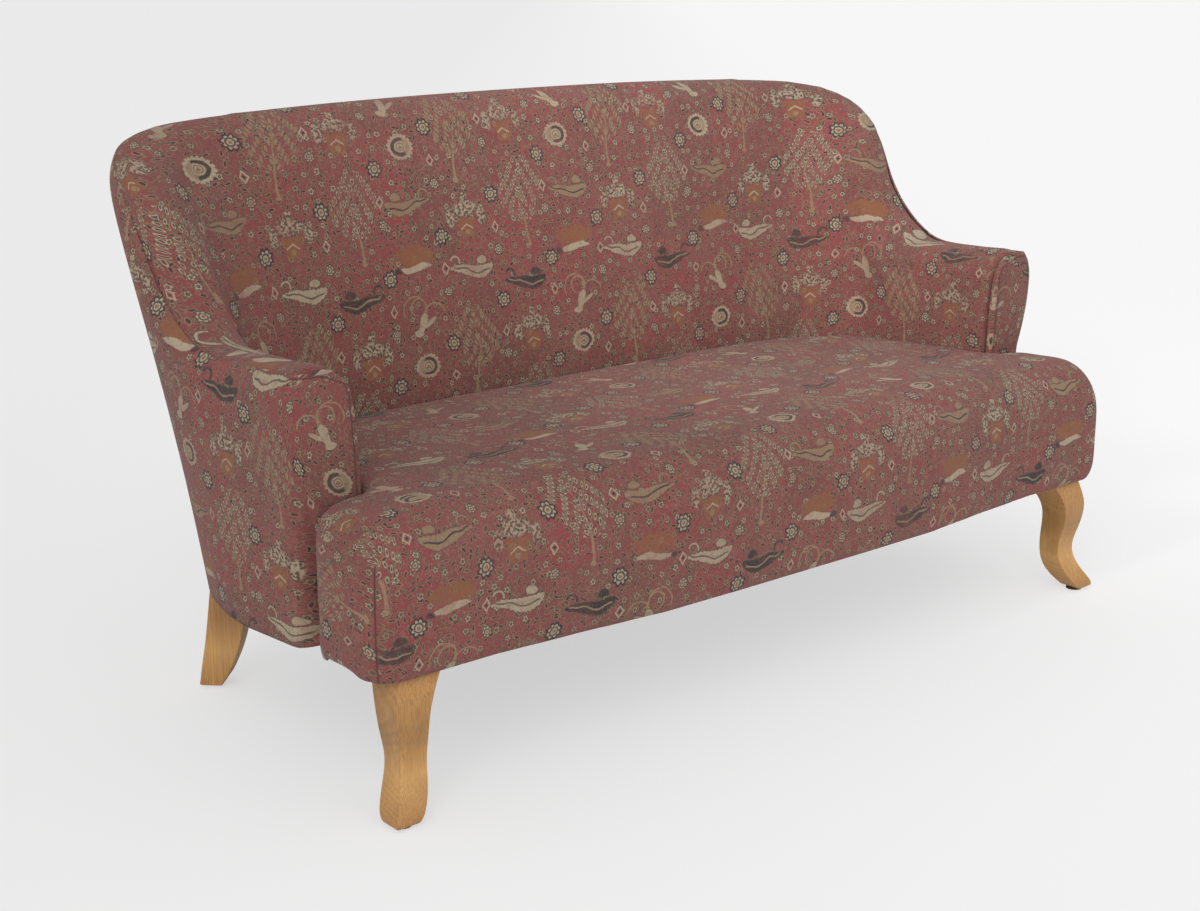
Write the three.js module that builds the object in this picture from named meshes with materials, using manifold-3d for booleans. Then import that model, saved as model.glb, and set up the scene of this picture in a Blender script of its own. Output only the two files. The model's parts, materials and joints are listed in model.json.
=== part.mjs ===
// A camelback sofa: timber frame, sinuous springs, foam, a close-fitting printed cover and oak legs.
// Millimetres. X runs along the sofa, Y from its front to its back, Z up from the floor.
import * as THREE from "three";
import { mergeVertices } from "three/addons/utils/BufferGeometryUtils.js";
import Module from "manifold-3d";

const wasm = await Module();
wasm.setup();

// Clearances and thicknesses that every piece shares
const seatGap = 0.3;
const coverThick = 3;
const railThick = 30;
const cutOverrun = 6;
const weldShare = 0.01;
const foamDepth = coverThick + seatGap;
const frameDepth = 7;
const deckGap = 4;
const sweepClearance = 1.6;
const padClearance = 7;

// Heights: the frame and the seat above the legs, and the arms and the back above the seat
const legHeight = 218;
const frameLift = 6;
const frameBase = legHeight + frameLift;
const frameRailWidth = 68;
const railTop = frameBase + frameRailWidth;
const tuckRise = 30;
const tuckHeight = railTop + tuckRise;
const seatThick = 234;
const seatFrontHeight = legHeight + seatThick;
const seatFall = 26;
const seatBackHeight = seatFrontHeight - seatFall;
const seatCrown = 9;
const armOverSeatHeight = 180;
const armHeight = seatFrontHeight + armOverSeatHeight;
const armFrontRise = 8;
const backRise = 497;
const crownHeight = seatFrontHeight + backRise;
const shoulderDrop = 27;
const shoulderHeight = crownHeight - shoulderDrop;

// The whole body at the widest of its rolled walls
const bodyHalfWidth = 892;
const bodyDepth = 811;

// The T-shaped front of the seat, whose ears pass in front of the arms
const blockStep = 58;
const blockHalfWidth = bodyHalfWidth - blockStep;
const blockDepth = 195;
const blockBow = 29;
const bowInnerShare = 0.3;
const bowOuterShare = 0.76;
const blockCornerRadius = 52;
const earBackRadius = 80;
const frontRollRadius = 84;
const rollRoomShare = 0.8;
const blockBackRadius = 18;
const blockBaseRadius = 30;
const earDrop = 12;
const frontPadding = 18;

// The wrapped back and arms: four plan outlines, inside and outside, low and high. Each lies
// some way within the whole body, and its arms draw in towards their fronts
const wrapDrop = 59;
const wrapLevel = crownHeight - wrapDrop;
const insideLowSteps = { side: 192, back: 188, cornerX: 260, cornerShare: 0.185, toeIn: -8 };
const insideHighSteps = { side: 104, back: 104, cornerX: 141, cornerShare: 0.174, toeIn: 36 };
const outsideLowSteps = { side: 56, back: 56, cornerX: 360, cornerShare: 0.493, toeIn: 14 };
const outsideHighSteps = { side: 0, back: 0, cornerX: 245, cornerShare: 0.302, toeIn: 30 };
const facingThick = 9.4;
const armFront = blockDepth + facingThick + seatGap * 2;
const rollRadius = 52;
const flareShare = 1.6;
const backSwell = 12;

// The arm's front rounds off into its facing, fully below one height and not at all above another
const frontRound = 40;
const frontRoundLow = 380;
const frontRoundHigh = 520;
const frontSetBack = 48;

// The rolled top edge, drawn along the wrapped wall from the middle of the back to the arm front
const crownReachShare = 0.443;
const shoulderPast = 98;
const shoulderReach = 150;
const shoulderSlopeShare = 0.13;
const shoulderTurn = 125;
const wingShort = 31;
const wingHeightShare = 0.528;
const wingRiseShare = 0.438;
const wingDropShare = 0.548;
const wingLeanShare = 0.1;
const armPast = 82;
const armReach = 72;

// The seams of the cover: one at each corner, as a share of the edge's half length, and one along the roll
const cornerShare = 0.5;
const rollSeamStep = 5;

// Timber widths and places along the wall
const edgeRailWidth = 44;
const wideRailThick = 58;
const backRailShare = 0.727;
const cornerRailPast = 60;
const stileShare = 0.618;
const stileWidth = 45;
const cornerPostPast = 88;
const tackRise = 4;
const tackRailWidth = 40;
const tackLow = seatBackHeight + tackRise;
const tackHigh = tackLow + tackRailWidth;
const crossRailWidth = 30;
const crossRailDrop = 12;
const topRailStep = 11;
const wingRailStep = 17;

// Arm facings
const facingInset = 6;
const facingRound = 7;

// Webbing across the back
const webbingWidth = 52;
const webbingThick = 1.5;
const webbingShares = [0.155, 0.487];

// Sinuous seat springs
const wireRadius = 2;
const springEdge = 275;
const springCount = 6;
const springSwing = 24;
const springBends = 9;
const springInset = 16;
const springEnd = 10;

// Legs: each level has its share of the height from the glide to the top, of the leg's
// greatest width, and of its greatest sweep outwards along the diagonal
const frontLegStep = 78;
const frontLegY = 44;
const frontLegWidth = 104;
const frontLegSweep = 40;
const frontLegShares = [
  { heightShare: 0, widthShare: 0.558, sweepShare: 1 },
  { heightShare: 0.027, widthShare: 0.692, sweepShare: 0.925 },
  { heightShare: 0.078, widthShare: 0.731, sweepShare: 0.7 },
  { heightShare: 0.143, widthShare: 0.721, sweepShare: 0.425 },
  { heightShare: 0.227, widthShare: 0.673, sweepShare: 0.175 },
  { heightShare: 0.311, widthShare: 0.615, sweepShare: 0.05 },
  { heightShare: 0.404, widthShare: 0.606, sweepShare: 0 },
  { heightShare: 0.498, widthShare: 0.654, sweepShare: 0.075 },
  { heightShare: 0.6, widthShare: 0.712, sweepShare: 0.2 },
  { heightShare: 0.731, widthShare: 0.769, sweepShare: 0.275 },
  { heightShare: 0.824, widthShare: 0.837, sweepShare: 0.15 },
  { heightShare: 0.917, widthShare: 0.913, sweepShare: -0.125 },
  { heightShare: 1, widthShare: 1, sweepShare: -0.425 },
];
const rearLegDepth = 32.75;
const rearLegTurnShare = 0.467;
const rearLegWidth = 64.5;
const rearLegSweep = 44;
const rearLegThick = 50;
const rearLegShares = [
  { heightShare: 0, widthShare: 0.612, sweepShare: 1 },
  { heightShare: 0.055, widthShare: 0.698, sweepShare: 0.898 },
  { heightShare: 0.141, widthShare: 0.806, sweepShare: 0.761 },
  { heightShare: 0.25, widthShare: 0.891, sweepShare: 0.595 },
  { heightShare: 0.353, widthShare: 0.946, sweepShare: 0.461 },
  { heightShare: 0.512, widthShare: 1, sweepShare: 0.305 },
  { heightShare: 0.731, widthShare: 1, sweepShare: 0.164 },
  { heightShare: 1, widthShare: 0.992, sweepShare: 0 },
];
const legChamfer = 5;
const neckRadius = 22;
const neckSink = 8;
const frontNeckBack = 16;
const glideHeight = 3;
const glideInset = 6;
const boltRadius = 4;
const boltPoint = 3;
const boltSink = 36;
const boltRise = 48;

// Facets
const halfStations = 24;
const frontShares = [0.022, 0.01, 0.003];
const wallRows = 4;
const rollSteps = 7;
const profileSteps = 6;
const endShare = 0.94;
const blockSpans = 10;
const deckRows = 8;
const deckSpans = 8;
const roundSides = 16;
const wireSides = 5;
const bendSteps = 6;
const cornerRailSteps = 10;
const postSteps = 6;
const tackRailSteps = 8;
const dustStations = 48;

const materials = {
  fabric: new THREE.MeshStandardMaterial({ color: 0x845652, roughness: 0.92, metalness: 0 }),
  lining: new THREE.MeshStandardMaterial({ color: 0x26231f, roughness: 0.95, metalness: 0 }),
  foam: new THREE.MeshStandardMaterial({ color: 0xe8dcc0, roughness: 0.95, metalness: 0 }),
  beech: new THREE.MeshStandardMaterial({ color: 0xcaa878, roughness: 0.7, metalness: 0 }),
  oak: new THREE.MeshStandardMaterial({ color: 0xc8965a, roughness: 0.45, metalness: 0 }),
  steel: new THREE.MeshStandardMaterial({ color: 0x8a8c8e, roughness: 0.35, metalness: 1 }),
  webbing: new THREE.MeshStandardMaterial({ color: 0x2b2a28, roughness: 0.9, metalness: 0 }),
  glide: new THREE.MeshStandardMaterial({ color: 0x4a4540, roughness: 0.6, metalness: 0 }),
};

const sofa = new THREE.Group();

function add(name, geometry, finish) {
  const mesh = new THREE.Mesh(geometry, materials[finish].clone());
  mesh.name = name;
  sofa.add(mesh);
}

// A piece on the right and its mirror image on the left
function addPair(name, geometry, finish) {
  add(`${name}_right`, geometry, finish);
  add(`${name}_left`, mirrored(geometry), finish);
}

// Closed meshes from rows of points

const lerp = THREE.MathUtils.lerp;
const clamp = THREE.MathUtils.clamp;
const ease = (low, high, value) => THREE.MathUtils.smoothstep(value, low, high);

function fromTriangles(points, faces) {
  const geometry = new THREE.BufferGeometry();
  const places = points.flatMap((p) => [p.x, p.y, p.z]);
  geometry.setAttribute("position", new THREE.Float32BufferAttribute(places, 3));
  geometry.setIndex(faces);
  return geometry;
}

// Signed volume, to turn a closed mesh the right way out
function volumeOf(points, faces) {
  let sum = 0;
  for (let i = 0; i < faces.length; i += 3) {
    const [a, b, c] = [points[faces[i]], points[faces[i + 1]], points[faces[i + 2]]];
    sum += a.dot(new THREE.Vector3().crossVectors(b, c));
  }
  return sum;
}

function outwards(points, faces) {
  if (volumeOf(points, faces) > 0) return faces;
  const turned = [];
  for (let i = 0; i < faces.length; i += 3) turned.push(faces[i], faces[i + 2], faces[i + 1]);
  return turned;
}

// A solid through closed loops of equal length; flatten drops one axis to triangulate the two ends
function loft(loops, flatten) {
  const points = loops.flat();
  const count = loops[0].length;
  const faces = [];
  for (let i = 0; i + 1 < loops.length; i++) {
    for (let j = 0; j < count; j++) {
      const k = (j + 1) % count;
      const [a, b] = [i * count + j, i * count + k];
      const [c, d] = [b + count, a + count];
      faces.push(a, b, c, a, c, d);
    }
  }
  for (const end of [0, loops.length - 1]) {
    const flat = loops[end].map(flatten);
    for (const [a, b, c] of THREE.ShapeUtils.triangulateShape(flat, [])) {
      const base = end * count;
      const area = THREE.ShapeUtils.area(flat) > 0;
      if ((end === 0) === area) faces.push(base + a, base + c, base + b);
      else faces.push(base + a, base + b, base + c);
    }
  }
  return fromTriangles(points, loftFaces(points, faces, loops.length, count));
}

// The two ends of a loft may come out turned against its sides: set them from the first side face
function loftFaces(points, faces, loopCount, count) {
  const sideFaces = (loopCount - 1) * count * 6;
  const shared = new Set();
  for (let i = 0; i < sideFaces; i += 3) {
    for (let k = 0; k < 3; k++) shared.add(`${faces[i + k]}_${faces[i + ((k + 1) % 3)]}`);
  }
  const result = faces.slice(0, sideFaces);
  for (let i = sideFaces; i < faces.length; i += 3) {
    const [a, b, c] = faces.slice(i, i + 3);
    const clashes = [[a, b], [b, c], [c, a]].some(([p, q]) => shared.has(`${p}_${q}`));
    if (clashes) result.push(a, c, b);
    else result.push(a, b, c);
  }
  return outwards(points, result);
}

// A slab between two grids of points of the same size
function slab(front, back) {
  const rows = front.length;
  const cols = front[0].length;
  const points = [...front.flat(), ...back.flat()];
  const at = (layer, i, j) => layer * rows * cols + i * cols + j;
  const faces = [];
  const quad = (a, b, c, d) => faces.push(a, b, c, a, c, d);
  for (let i = 0; i + 1 < rows; i++) {
    for (let j = 0; j + 1 < cols; j++) {
      quad(at(0, i, j), at(0, i, j + 1), at(0, i + 1, j + 1), at(0, i + 1, j));
      quad(at(1, i, j), at(1, i + 1, j), at(1, i + 1, j + 1), at(1, i, j + 1));
    }
  }
  for (let i = 0; i + 1 < rows; i++) {
    quad(at(0, i + 1, 0), at(1, i + 1, 0), at(1, i, 0), at(0, i, 0));
    quad(at(0, i, cols - 1), at(1, i, cols - 1), at(1, i + 1, cols - 1), at(0, i + 1, cols - 1));
  }
  for (let j = 0; j + 1 < cols; j++) {
    quad(at(0, 0, j), at(1, 0, j), at(1, 0, j + 1), at(0, 0, j + 1));
    quad(at(0, rows - 1, j + 1), at(1, rows - 1, j + 1), at(1, rows - 1, j), at(0, rows - 1, j));
  }
  return fromTriangles(points, outwards(points, faces));
}

function toSolid(geometry) {
  const bare = geometry.clone();
  bare.deleteAttribute("normal");
  bare.deleteAttribute("uv");
  const merged = mergeVertices(bare, seatGap * weldShare);
  return new wasm.Manifold(new wasm.Mesh({
    numProp: 3,
    vertProperties: new Float32Array(merged.attributes.position.array),
    triVerts: new Uint32Array(merged.index.array),
  }));
}

function toGeometry(solid) {
  const mesh = solid.getMesh();
  const geometry = new THREE.BufferGeometry();
  geometry.setAttribute("position", new THREE.BufferAttribute(new Float32Array(mesh.vertProperties), 3));
  geometry.setIndex(new THREE.BufferAttribute(new Uint32Array(mesh.triVerts), 1));
  return geometry;
}

function boxAt(low, high) {
  const size = new THREE.Vector3().subVectors(high, low);
  const geometry = new THREE.BoxGeometry(size.x, size.y, size.z);
  return geometry.translate((low.x + high.x) / 2, (low.y + high.y) / 2, (low.z + high.z) / 2);
}

const mirrored = (geometry) => {
  const copy = geometry.clone().scale(-1, 1, 1);
  const index = copy.index ? copy.index.array : null;
  if (!index) return copy;
  for (let i = 0; i < index.length; i += 3) [index[i + 1], index[i + 2]] = [index[i + 2], index[i + 1]];
  return copy;
};

// The plan of the wrapped wall: station 0 to 1 is the back, 1 to 2 the corner, 2 to 3 the arm

function planPoint(plan, station) {
  const flat = plan.halfWidth - plan.cornerX;
  const cornerBack = plan.back - plan.cornerY;
  if (station <= 1) return new THREE.Vector2(flat * station, plan.back);
  if (station <= 2) {
    const turn = (station - 1) * Math.PI / 2;
    return new THREE.Vector2(
      flat + plan.cornerX * Math.sin(turn),
      cornerBack + plan.cornerY * Math.cos(turn),
    );
  }
  const run = station - 2;
  return new THREE.Vector2(lerp(plan.halfWidth, plan.frontX, run), lerp(cornerBack, armFront, run));
}

function outline(steps) {
  const halfWidth = bodyHalfWidth - steps.side;
  return {
    halfWidth,
    back: bodyDepth - steps.back,
    cornerX: steps.cornerX,
    cornerY: bodyDepth * steps.cornerShare,
    frontX: halfWidth - steps.toeIn,
  };
}

const insideLow = outline(insideLowSteps);
const insideHigh = outline(insideHighSteps);
const outsideLow = outline(outsideLowSteps);
const outsideHigh = outline(outsideHighSteps);

// Distance along the rolled edge's line in plan, and back from it to a station
const edgePlan = {
  halfWidth: outsideHigh.halfWidth - rollRadius,
  back: outsideHigh.back - rollRadius,
  cornerX: outsideHigh.cornerX - rollRadius,
  cornerY: outsideHigh.cornerY - rollRadius,
  frontX: outsideHigh.frontX - rollRadius,
};
const runToCorner = edgePlan.halfWidth - edgePlan.cornerX;
const runToArm = runToCorner + (edgePlan.cornerX + edgePlan.cornerY) * Math.PI / 4;
const runToFront = runToArm + (edgePlan.back - edgePlan.cornerY - armFront);
const shoulderRun = runToCorner + shoulderPast;
const wingRun = runToArm - wingShort;
const armRun = runToArm + armPast;

function stationAt(run) {
  if (run <= runToCorner) return run / runToCorner;
  if (run <= runToArm) return 1 + (run - runToCorner) / (runToArm - runToCorner);
  return 2 + (Math.min(run, runToFront) - runToArm) / (runToFront - runToArm);
}

function between(low, high, lowLevel, station, height) {
  const share = Math.max(height - lowLevel, 0) / (wrapLevel - lowLevel);
  const a = planPoint(low, station);
  const b = planPoint(high, station);
  return new THREE.Vector2(lerp(a.x, b.x, share ** flareShare), lerp(a.y, b.y, share));
}

const outsideFrame = (run, height) => between(outsideLow, outsideHigh, legHeight, stationAt(run), height);

function outsideWall(run, height) {
  const wall = outsideFrame(run, height);
  const share = clamp(1 - (runToFront - run) / frontRound, 0, 1);
  const depth = frontRound * (1 - ease(frontRoundLow, frontRoundHigh, height));
  wall.x -= depth * (1 - Math.sqrt(1 - share ** 2));
  return wall;
}

// The inside of the back swells forwards at half its height
function insideWall(run, height) {
  const station = stationAt(run);
  const wall = between(insideLow, insideHigh, seatBackHeight, station, height);
  const rise = clamp((height - seatBackHeight) / (wrapLevel - seatBackHeight), 0, 1);
  const swell = backSwell * Math.sin(Math.PI * rise) * (1 - clamp(station - 1, 0, 1));
  return wall.addScaledVector(wall.clone().sub(outsideWall(run, height)).normalize(), swell);
}

// A point at a depth behind the outside face of the wall; side is 1 on the right and -1 on the left
function wallPoint(side, run, height, depth) {
  const step = runToFront * weldShare;
  const here = outsideFrame(run, height);
  const before = outsideFrame(Math.max(run - step, 0), height);
  const along = outsideFrame(run + step, height).sub(before).normalize();
  return new THREE.Vector3(side * (here.x + along.y * depth), here.y - along.x * depth, height);
}

// The line of the top edge: camel crown, shoulder, wing and arm
const wingHeight = lerp(armHeight, shoulderHeight, wingHeightShare);
const wingRise = (shoulderHeight - wingHeight) * wingRiseShare;
const wingDrop = (wingHeight - armHeight) * wingDropShare;
const edgePath = new THREE.Path();
edgePath.moveTo(0, crownHeight);
edgePath.bezierCurveTo(
  shoulderRun * crownReachShare, crownHeight,
  shoulderRun - shoulderReach, shoulderHeight + shoulderReach * shoulderSlopeShare,
  shoulderRun, shoulderHeight,
);
edgePath.bezierCurveTo(
  shoulderRun + shoulderTurn, shoulderHeight - shoulderTurn * shoulderSlopeShare,
  wingRun - wingRise * wingLeanShare, wingHeight + wingRise,
  wingRun, wingHeight,
);
edgePath.bezierCurveTo(
  wingRun + wingDrop * wingLeanShare, wingHeight - wingDrop,
  armRun - armReach, armHeight,
  armRun, armHeight,
);
edgePath.lineTo(runToFront, armHeight + armFrontRise);

// A station on the edge: its point, the way in from it, and its place on the base line
function edgeStation(share) {
  const edge = edgePath.getPointAt(share);
  const tangent = edgePath.getTangentAt(share);
  return { edge, inward: new THREE.Vector2(tangent.y, -tangent.x), base: runToFront * share };
}

// A point on the wall's skin: a row lies on the inside, on the roll or on the outside
// and the depth goes in from the skin
function skinPoint(side, station, row, depth, insideFoot) {
  const { edge, inward, base } = station;
  const centre = edge.clone().addScaledVector(inward, rollRadius);
  if (row.part === "roll") {
    const inner = insideWall(centre.x, centre.y);
    const outer = outsideWall(centre.x, centre.y);
    const middle = inner.clone().add(outer).multiplyScalar(1 / 2);
    const spread = outer.clone().sub(middle);
    const over = edge.clone().addScaledVector(inward, depth);
    const top = insideWall(over.x, over.y).add(outsideWall(over.x, over.y)).multiplyScalar(1 / 2);
    const turn = Math.PI * row.share;
    const rise = Math.sin(turn);
    const sideways = -Math.cos(turn) * (spread.length() - depth) / spread.length();
    const x = middle.x + spread.x * sideways + (top.x - middle.x) * rise;
    const y = middle.y + spread.y * sideways + (top.y - middle.y) * rise;
    return new THREE.Vector3(side * x, y, lerp(centre.y, over.y, rise));
  }
  const foot = row.part === "inside" ? insideFoot : legHeight;
  const run = lerp(base, centre.x, row.share);
  const height = lerp(foot, centre.y, row.share);
  const [wall, other] = row.part === "inside"
    ? [insideWall(run, height), outsideWall(run, height)]
    : [outsideWall(run, height), insideWall(run, height)];
  const direction = other.sub(wall).normalize();
  return new THREE.Vector3(side * (wall.x + direction.x * depth), wall.y + direction.y * depth, height);
}

// Rows from one share to another of each part in turn
function skinRows(parts) {
  const rows = [];
  for (const [part, from, to, steps] of parts) {
    for (let i = 0; i <= steps; i++) rows.push({ part, share: lerp(from, to, i / steps) });
  }
  return rows;
}

// Stations from one share of the edge to another, below nought on the left
function stationsBetween(from, to) {
  const steps = Math.round((to - from) * halfStations);
  const list = [];
  for (let i = 0; i <= steps; i++) {
    const share = lerp(from, to, i / steps);
    list.push([share < 0 ? -1 : 1, edgeStation(Math.abs(share))]);
  }
  if (to < 1) return list;
  const front = list.pop();
  return [...list, ...frontShares.map((share) => [1, edgeStation(1 - share)]), front];
}

function skinGrid(from, to, rows, depth, foot) {
  return stationsBetween(from, to).map(([side, station]) => (
    rows.map((row) => skinPoint(side, station, row, depth, foot))
  ));
}

const seamShare = seatGap / edgePath.getLength();
const rollSeamShare = rollSeamStep / rollSteps;
const rollGapShare = seatGap / (Math.PI * rollRadius);
const insideRows = skinRows([
  ["inside", 0, 1, wallRows],
  ["roll", 1 / rollSteps, rollSeamShare, rollSeamStep - 1],
]);
const outsideRows = skinRows([
  ["roll", rollSeamShare + rollGapShare, 1 - 1 / rollSteps, 1],
  ["outside", 1, 0, wallRows],
]);
const padRows = skinRows([
  ["inside", 0, 1, wallRows],
  ["roll", 1 / rollSteps, 1, rollSteps - 1],
]);

function coverPiece(from, to, rows) {
  return slab(skinGrid(from, to, rows, 0, tuckHeight), skinGrid(from, to, rows, coverThick, tuckHeight));
}

// The pad on the inside of the wall, over the top and down behind to the timber
const padBackDepth = frameDepth + railThick + padClearance;

function padPiece(from, to) {
  const foot = tuckHeight + seatGap;
  const loops = stationsBetween(from, to).map(([side, station]) => {
    const front = padRows.map((row) => skinPoint(side, station, row, foamDepth, foot));
    const centre = station.edge.clone().addScaledVector(station.inward, rollRadius);
    const back = [];
    for (let i = 0; i <= wallRows; i++) {
      const run = lerp(centre.x, station.base, i / wallRows);
      back.push(wallPoint(side, run, lerp(centre.y, foot, i / wallRows), padBackDepth));
    }
    return [...front, ...back];
  });
  return loft(loops, (p) => new THREE.Vector2(Math.hypot(p.x, p.y), p.z));
}

// Seat outlines

function seatTop(x, y) {
  const back = clamp((y - frontRollRadius) / (insideLow.back - frontRollRadius), 0, 1);
  const across = 1 - (x / blockHalfWidth) ** 2;
  const drop = earDrop * ease(insideLow.halfWidth, blockHalfWidth, Math.abs(x));
  return lerp(seatFrontHeight, seatBackHeight, back) + seatCrown * across - drop;
}

function blockFront(x) {
  return -blockBow * (1 - ease(bowInnerShare, bowOuterShare, Math.abs(x) / blockHalfWidth));
}

// The section of the seat's front at x, inset from its skin; a floor below it makes it open downwards
function blockSection(x, inset, floor) {
  const radius = blockCornerRadius - inset;
  const past = Math.max(Math.abs(x) - (blockHalfWidth - blockCornerRadius), 0);
  const shrink = radius - Math.sqrt(Math.max(radius ** 2 - past ** 2, 0));
  const earRadius = earBackRadius - inset;
  const pastEar = Math.max(Math.abs(x) - (blockHalfWidth - earBackRadius), 0);
  const front = blockFront(x) + inset + shrink;
  const back = blockDepth - inset - earRadius + Math.sqrt(Math.max(earRadius ** 2 - pastEar ** 2, 0));
  const base = legHeight + inset + shrink / 2;
  const baseRound = inset > foamDepth ? 0 : blockBaseRadius - inset;
  const roll = frontRollRadius - inset;
  const across = Math.min(roll, (back - blockBackRadius - front) * rollRoomShare);
  const loop = floor < legHeight ? [[back, floor], [front + baseRound, floor]] : [[back, base]];
  for (let i = 0; i <= profileSteps / 2; i++) {
    const turn = Math.PI * i / profileSteps;
    loop.push([front + baseRound * (1 - Math.sin(turn)), base + baseRound * (1 - Math.cos(turn))]);
  }
  const rise = seatTop(x, front + across) - inset - shrink;
  for (let i = 0; i <= profileSteps; i++) {
    const turn = Math.PI / 2 * i / profileSteps;
    loop.push([front + across * (1 - Math.cos(turn)), rise - roll * (1 - Math.sin(turn))]);
  }
  const rear = seatTop(x, back) - inset - shrink;
  const soft = blockBackRadius * (1 - Math.SQRT1_2);
  loop.push([back - blockBackRadius, rear], [back - soft, rear - soft], [back, rear - blockBackRadius]);
  return loop.map(([y, z]) => new THREE.Vector3(x, y, z));
}

// Places along the straight part of the seat's front
function blockStations() {
  const flat = blockHalfWidth - blockCornerRadius;
  const list = [];
  for (let i = 0; i <= blockSpans; i++) list.push(lerp(-flat, flat, i / blockSpans));
  const ear = blockHalfWidth - earBackRadius;
  list.splice(1, 0, -ear);
  list.splice(-1, 0, ear);
  return list;
}

function blockSolid(inset, floor) {
  const half = blockHalfWidth - inset;
  const radius = blockCornerRadius - inset;
  const list = [];
  for (let i = 0; i <= profileSteps; i++) {
    list.push(half - radius * (1 - Math.sin(Math.PI / 2 * (1 - i / profileSteps) * endShare)));
  }
  list.push(...blockStations().reverse().slice(1, -1));
  for (let i = profileSteps; i >= 0; i--) list.push(-list[i]);
  return toSolid(loft(list.map((x) => blockSection(x, inset, floor)), (p) => new THREE.Vector2(p.y, p.z)));
}

// The part of the seat between the arms, from inside the front to the back
function deckSolid(inset, floor) {
  const clear = deckGap + inset;
  const rows = [new THREE.Vector2(planPoint(insideLow, 3).x - clear, blockDepth - blockBackRadius * 2)];
  for (let i = 0; i <= deckRows; i++) {
    rows.push(planPoint(insideLow, lerp(3, 1, i / deckRows)).subScalar(clear));
  }
  const loops = rows.map(({ x: half, y }) => {
    const loop = [new THREE.Vector3(half, y, floor), new THREE.Vector3(-half, y, floor)];
    for (let i = 0; i <= deckSpans; i++) {
      const x = lerp(-half, half, i / deckSpans);
      loop.push(new THREE.Vector3(x, y, seatTop(x, y) - inset));
    }
    return loop;
  });
  return toSolid(loft(loops, (p) => new THREE.Vector2(p.x, p.z)));
}

const boltLow = legHeight - boltSink;
const boltHigh = frameBase + boltRise;
const below = legHeight - cutOverrun;
const springBed = railTop + seatGap;
const foamFloor = springBed + wireRadius * 2 + seatGap;
const frameInset = foamDepth + frontPadding;

// The space under the seat's padding, between the ears and open towards the back
const underSeat = toSolid(boxAt(
  new THREE.Vector3(-insideLow.halfWidth, blockDepth / 2, below),
  new THREE.Vector3(insideLow.halfWidth, armFront, foamFloor),
));
const seatOuter = blockSolid(0, legHeight).add(deckSolid(0, foamFloor));
const seatInner = blockSolid(coverThick, below).add(deckSolid(coverThick, foamFloor - cutOverrun));
add("seat_cover", toGeometry(seatOuter.subtract(seatInner).subtract(underSeat)), "fabric");

const ledge = toSolid(boxAt(
  new THREE.Vector3(-blockHalfWidth, -blockHalfWidth, below),
  new THREE.Vector3(blockHalfWidth, armFront, foamFloor),
));
const behindEars = toSolid(boxAt(
  new THREE.Vector3(frameInset - blockHalfWidth, blockDepth / 2, below),
  new THREE.Vector3(blockHalfWidth - frameInset, armFront, foamFloor),
));
const hollow = blockSolid(frameInset, below).intersect(ledge);
const seatBody = blockSolid(foamDepth, legHeight).add(deckSolid(foamDepth, foamFloor));
add("seat_foam", toGeometry(seatBody.subtract(hollow).subtract(behindEars)), "foam");

// Covers and pads of the back and arms
const armStart = cornerShare + seamShare;
add("inside_back_cover", coverPiece(-cornerShare, cornerShare, insideRows), "fabric");
add("outside_back_cover", coverPiece(-cornerShare, cornerShare, outsideRows), "fabric");
add("back_foam", padPiece(-cornerShare, cornerShare), "foam");
addPair("inside_arm_cover", coverPiece(armStart, 1, insideRows), "fabric");
addPair("outside_arm_cover", coverPiece(armStart, 1, outsideRows), "fabric");
addPair("arm_foam", padPiece(armStart, 1), "foam");

// Arm facings: thin upholstered boards with a rounded front edge
const facingRows = skinRows([
  ["inside", 0, 1, wallRows],
  ["roll", 1 / rollSteps, 1 - 1 / rollSteps, rollSteps - 2],
  ["outside", 1, 0, wallRows],
]);

function facingLoop(y, inset) {
  const station = edgeStation(1);
  return facingRows.map((row) => {
    const point = skinPoint(1, station, row, inset, legHeight);
    return new THREE.Vector3(point.x, y, Math.max(point.z, legHeight + inset));
  });
}

const facingBack = armFront - seatGap;
const facingFront = facingBack - facingThick;
const facingLoops = [[facingBack, facingInset], [lerp(facingBack, facingFront, 1 / 2), facingInset]];
for (let i = 1; i <= profileSteps / 2; i++) {
  const turn = Math.PI * i / profileSteps;
  const y = facingFront + facingThick / 2 * (1 - Math.sin(turn));
  facingLoops.push([y, facingInset + facingRound * (1 - Math.cos(turn))]);
}
const facingBody = loft(
  facingLoops.map(([y, inset]) => facingLoop(y, inset)),
  (p) => new THREE.Vector2(p.x, p.z),
);
addPair("arm_facing", facingBody, "fabric");

// Timber laid along the wall between two runs, with low and high edges
function rail(fromRun, toRun, low, high, thick, steps) {
  const loops = [];
  for (let i = 0; i <= steps; i++) {
    const run = lerp(fromRun, toRun, i / steps);
    const side = Math.sign(run) || 1;
    const back = frameDepth + thick;
    const corners = [[low, frameDepth], [low, back], [high, back], [high, frameDepth]];
    loops.push(corners.map(([height, depth]) => wallPoint(side, Math.abs(run), height, depth)));
  }
  return loft(loops, (p) => new THREE.Vector2(Math.hypot(p.x, p.y), p.z));
}

// The rail under the arm, cut back at its front end to clear the rounded cover
function sideRail() {
  const from = cornerRailRun + seatGap;
  const turn = runToFront - frontSetBack;
  const inner = frameDepth + wideRailThick;
  const loops = [[from, frameDepth], [turn, frameDepth], [runToFront, frontSetBack]].map(([run, outer]) => {
    const corners = [[frameBase, outer], [frameBase, inner], [railTop, inner], [railTop, outer]];
    return corners.map(([height, depth]) => wallPoint(1, run, height, depth));
  });
  return loft(loops, (p) => new THREE.Vector2(p.x, p.z));
}

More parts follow.
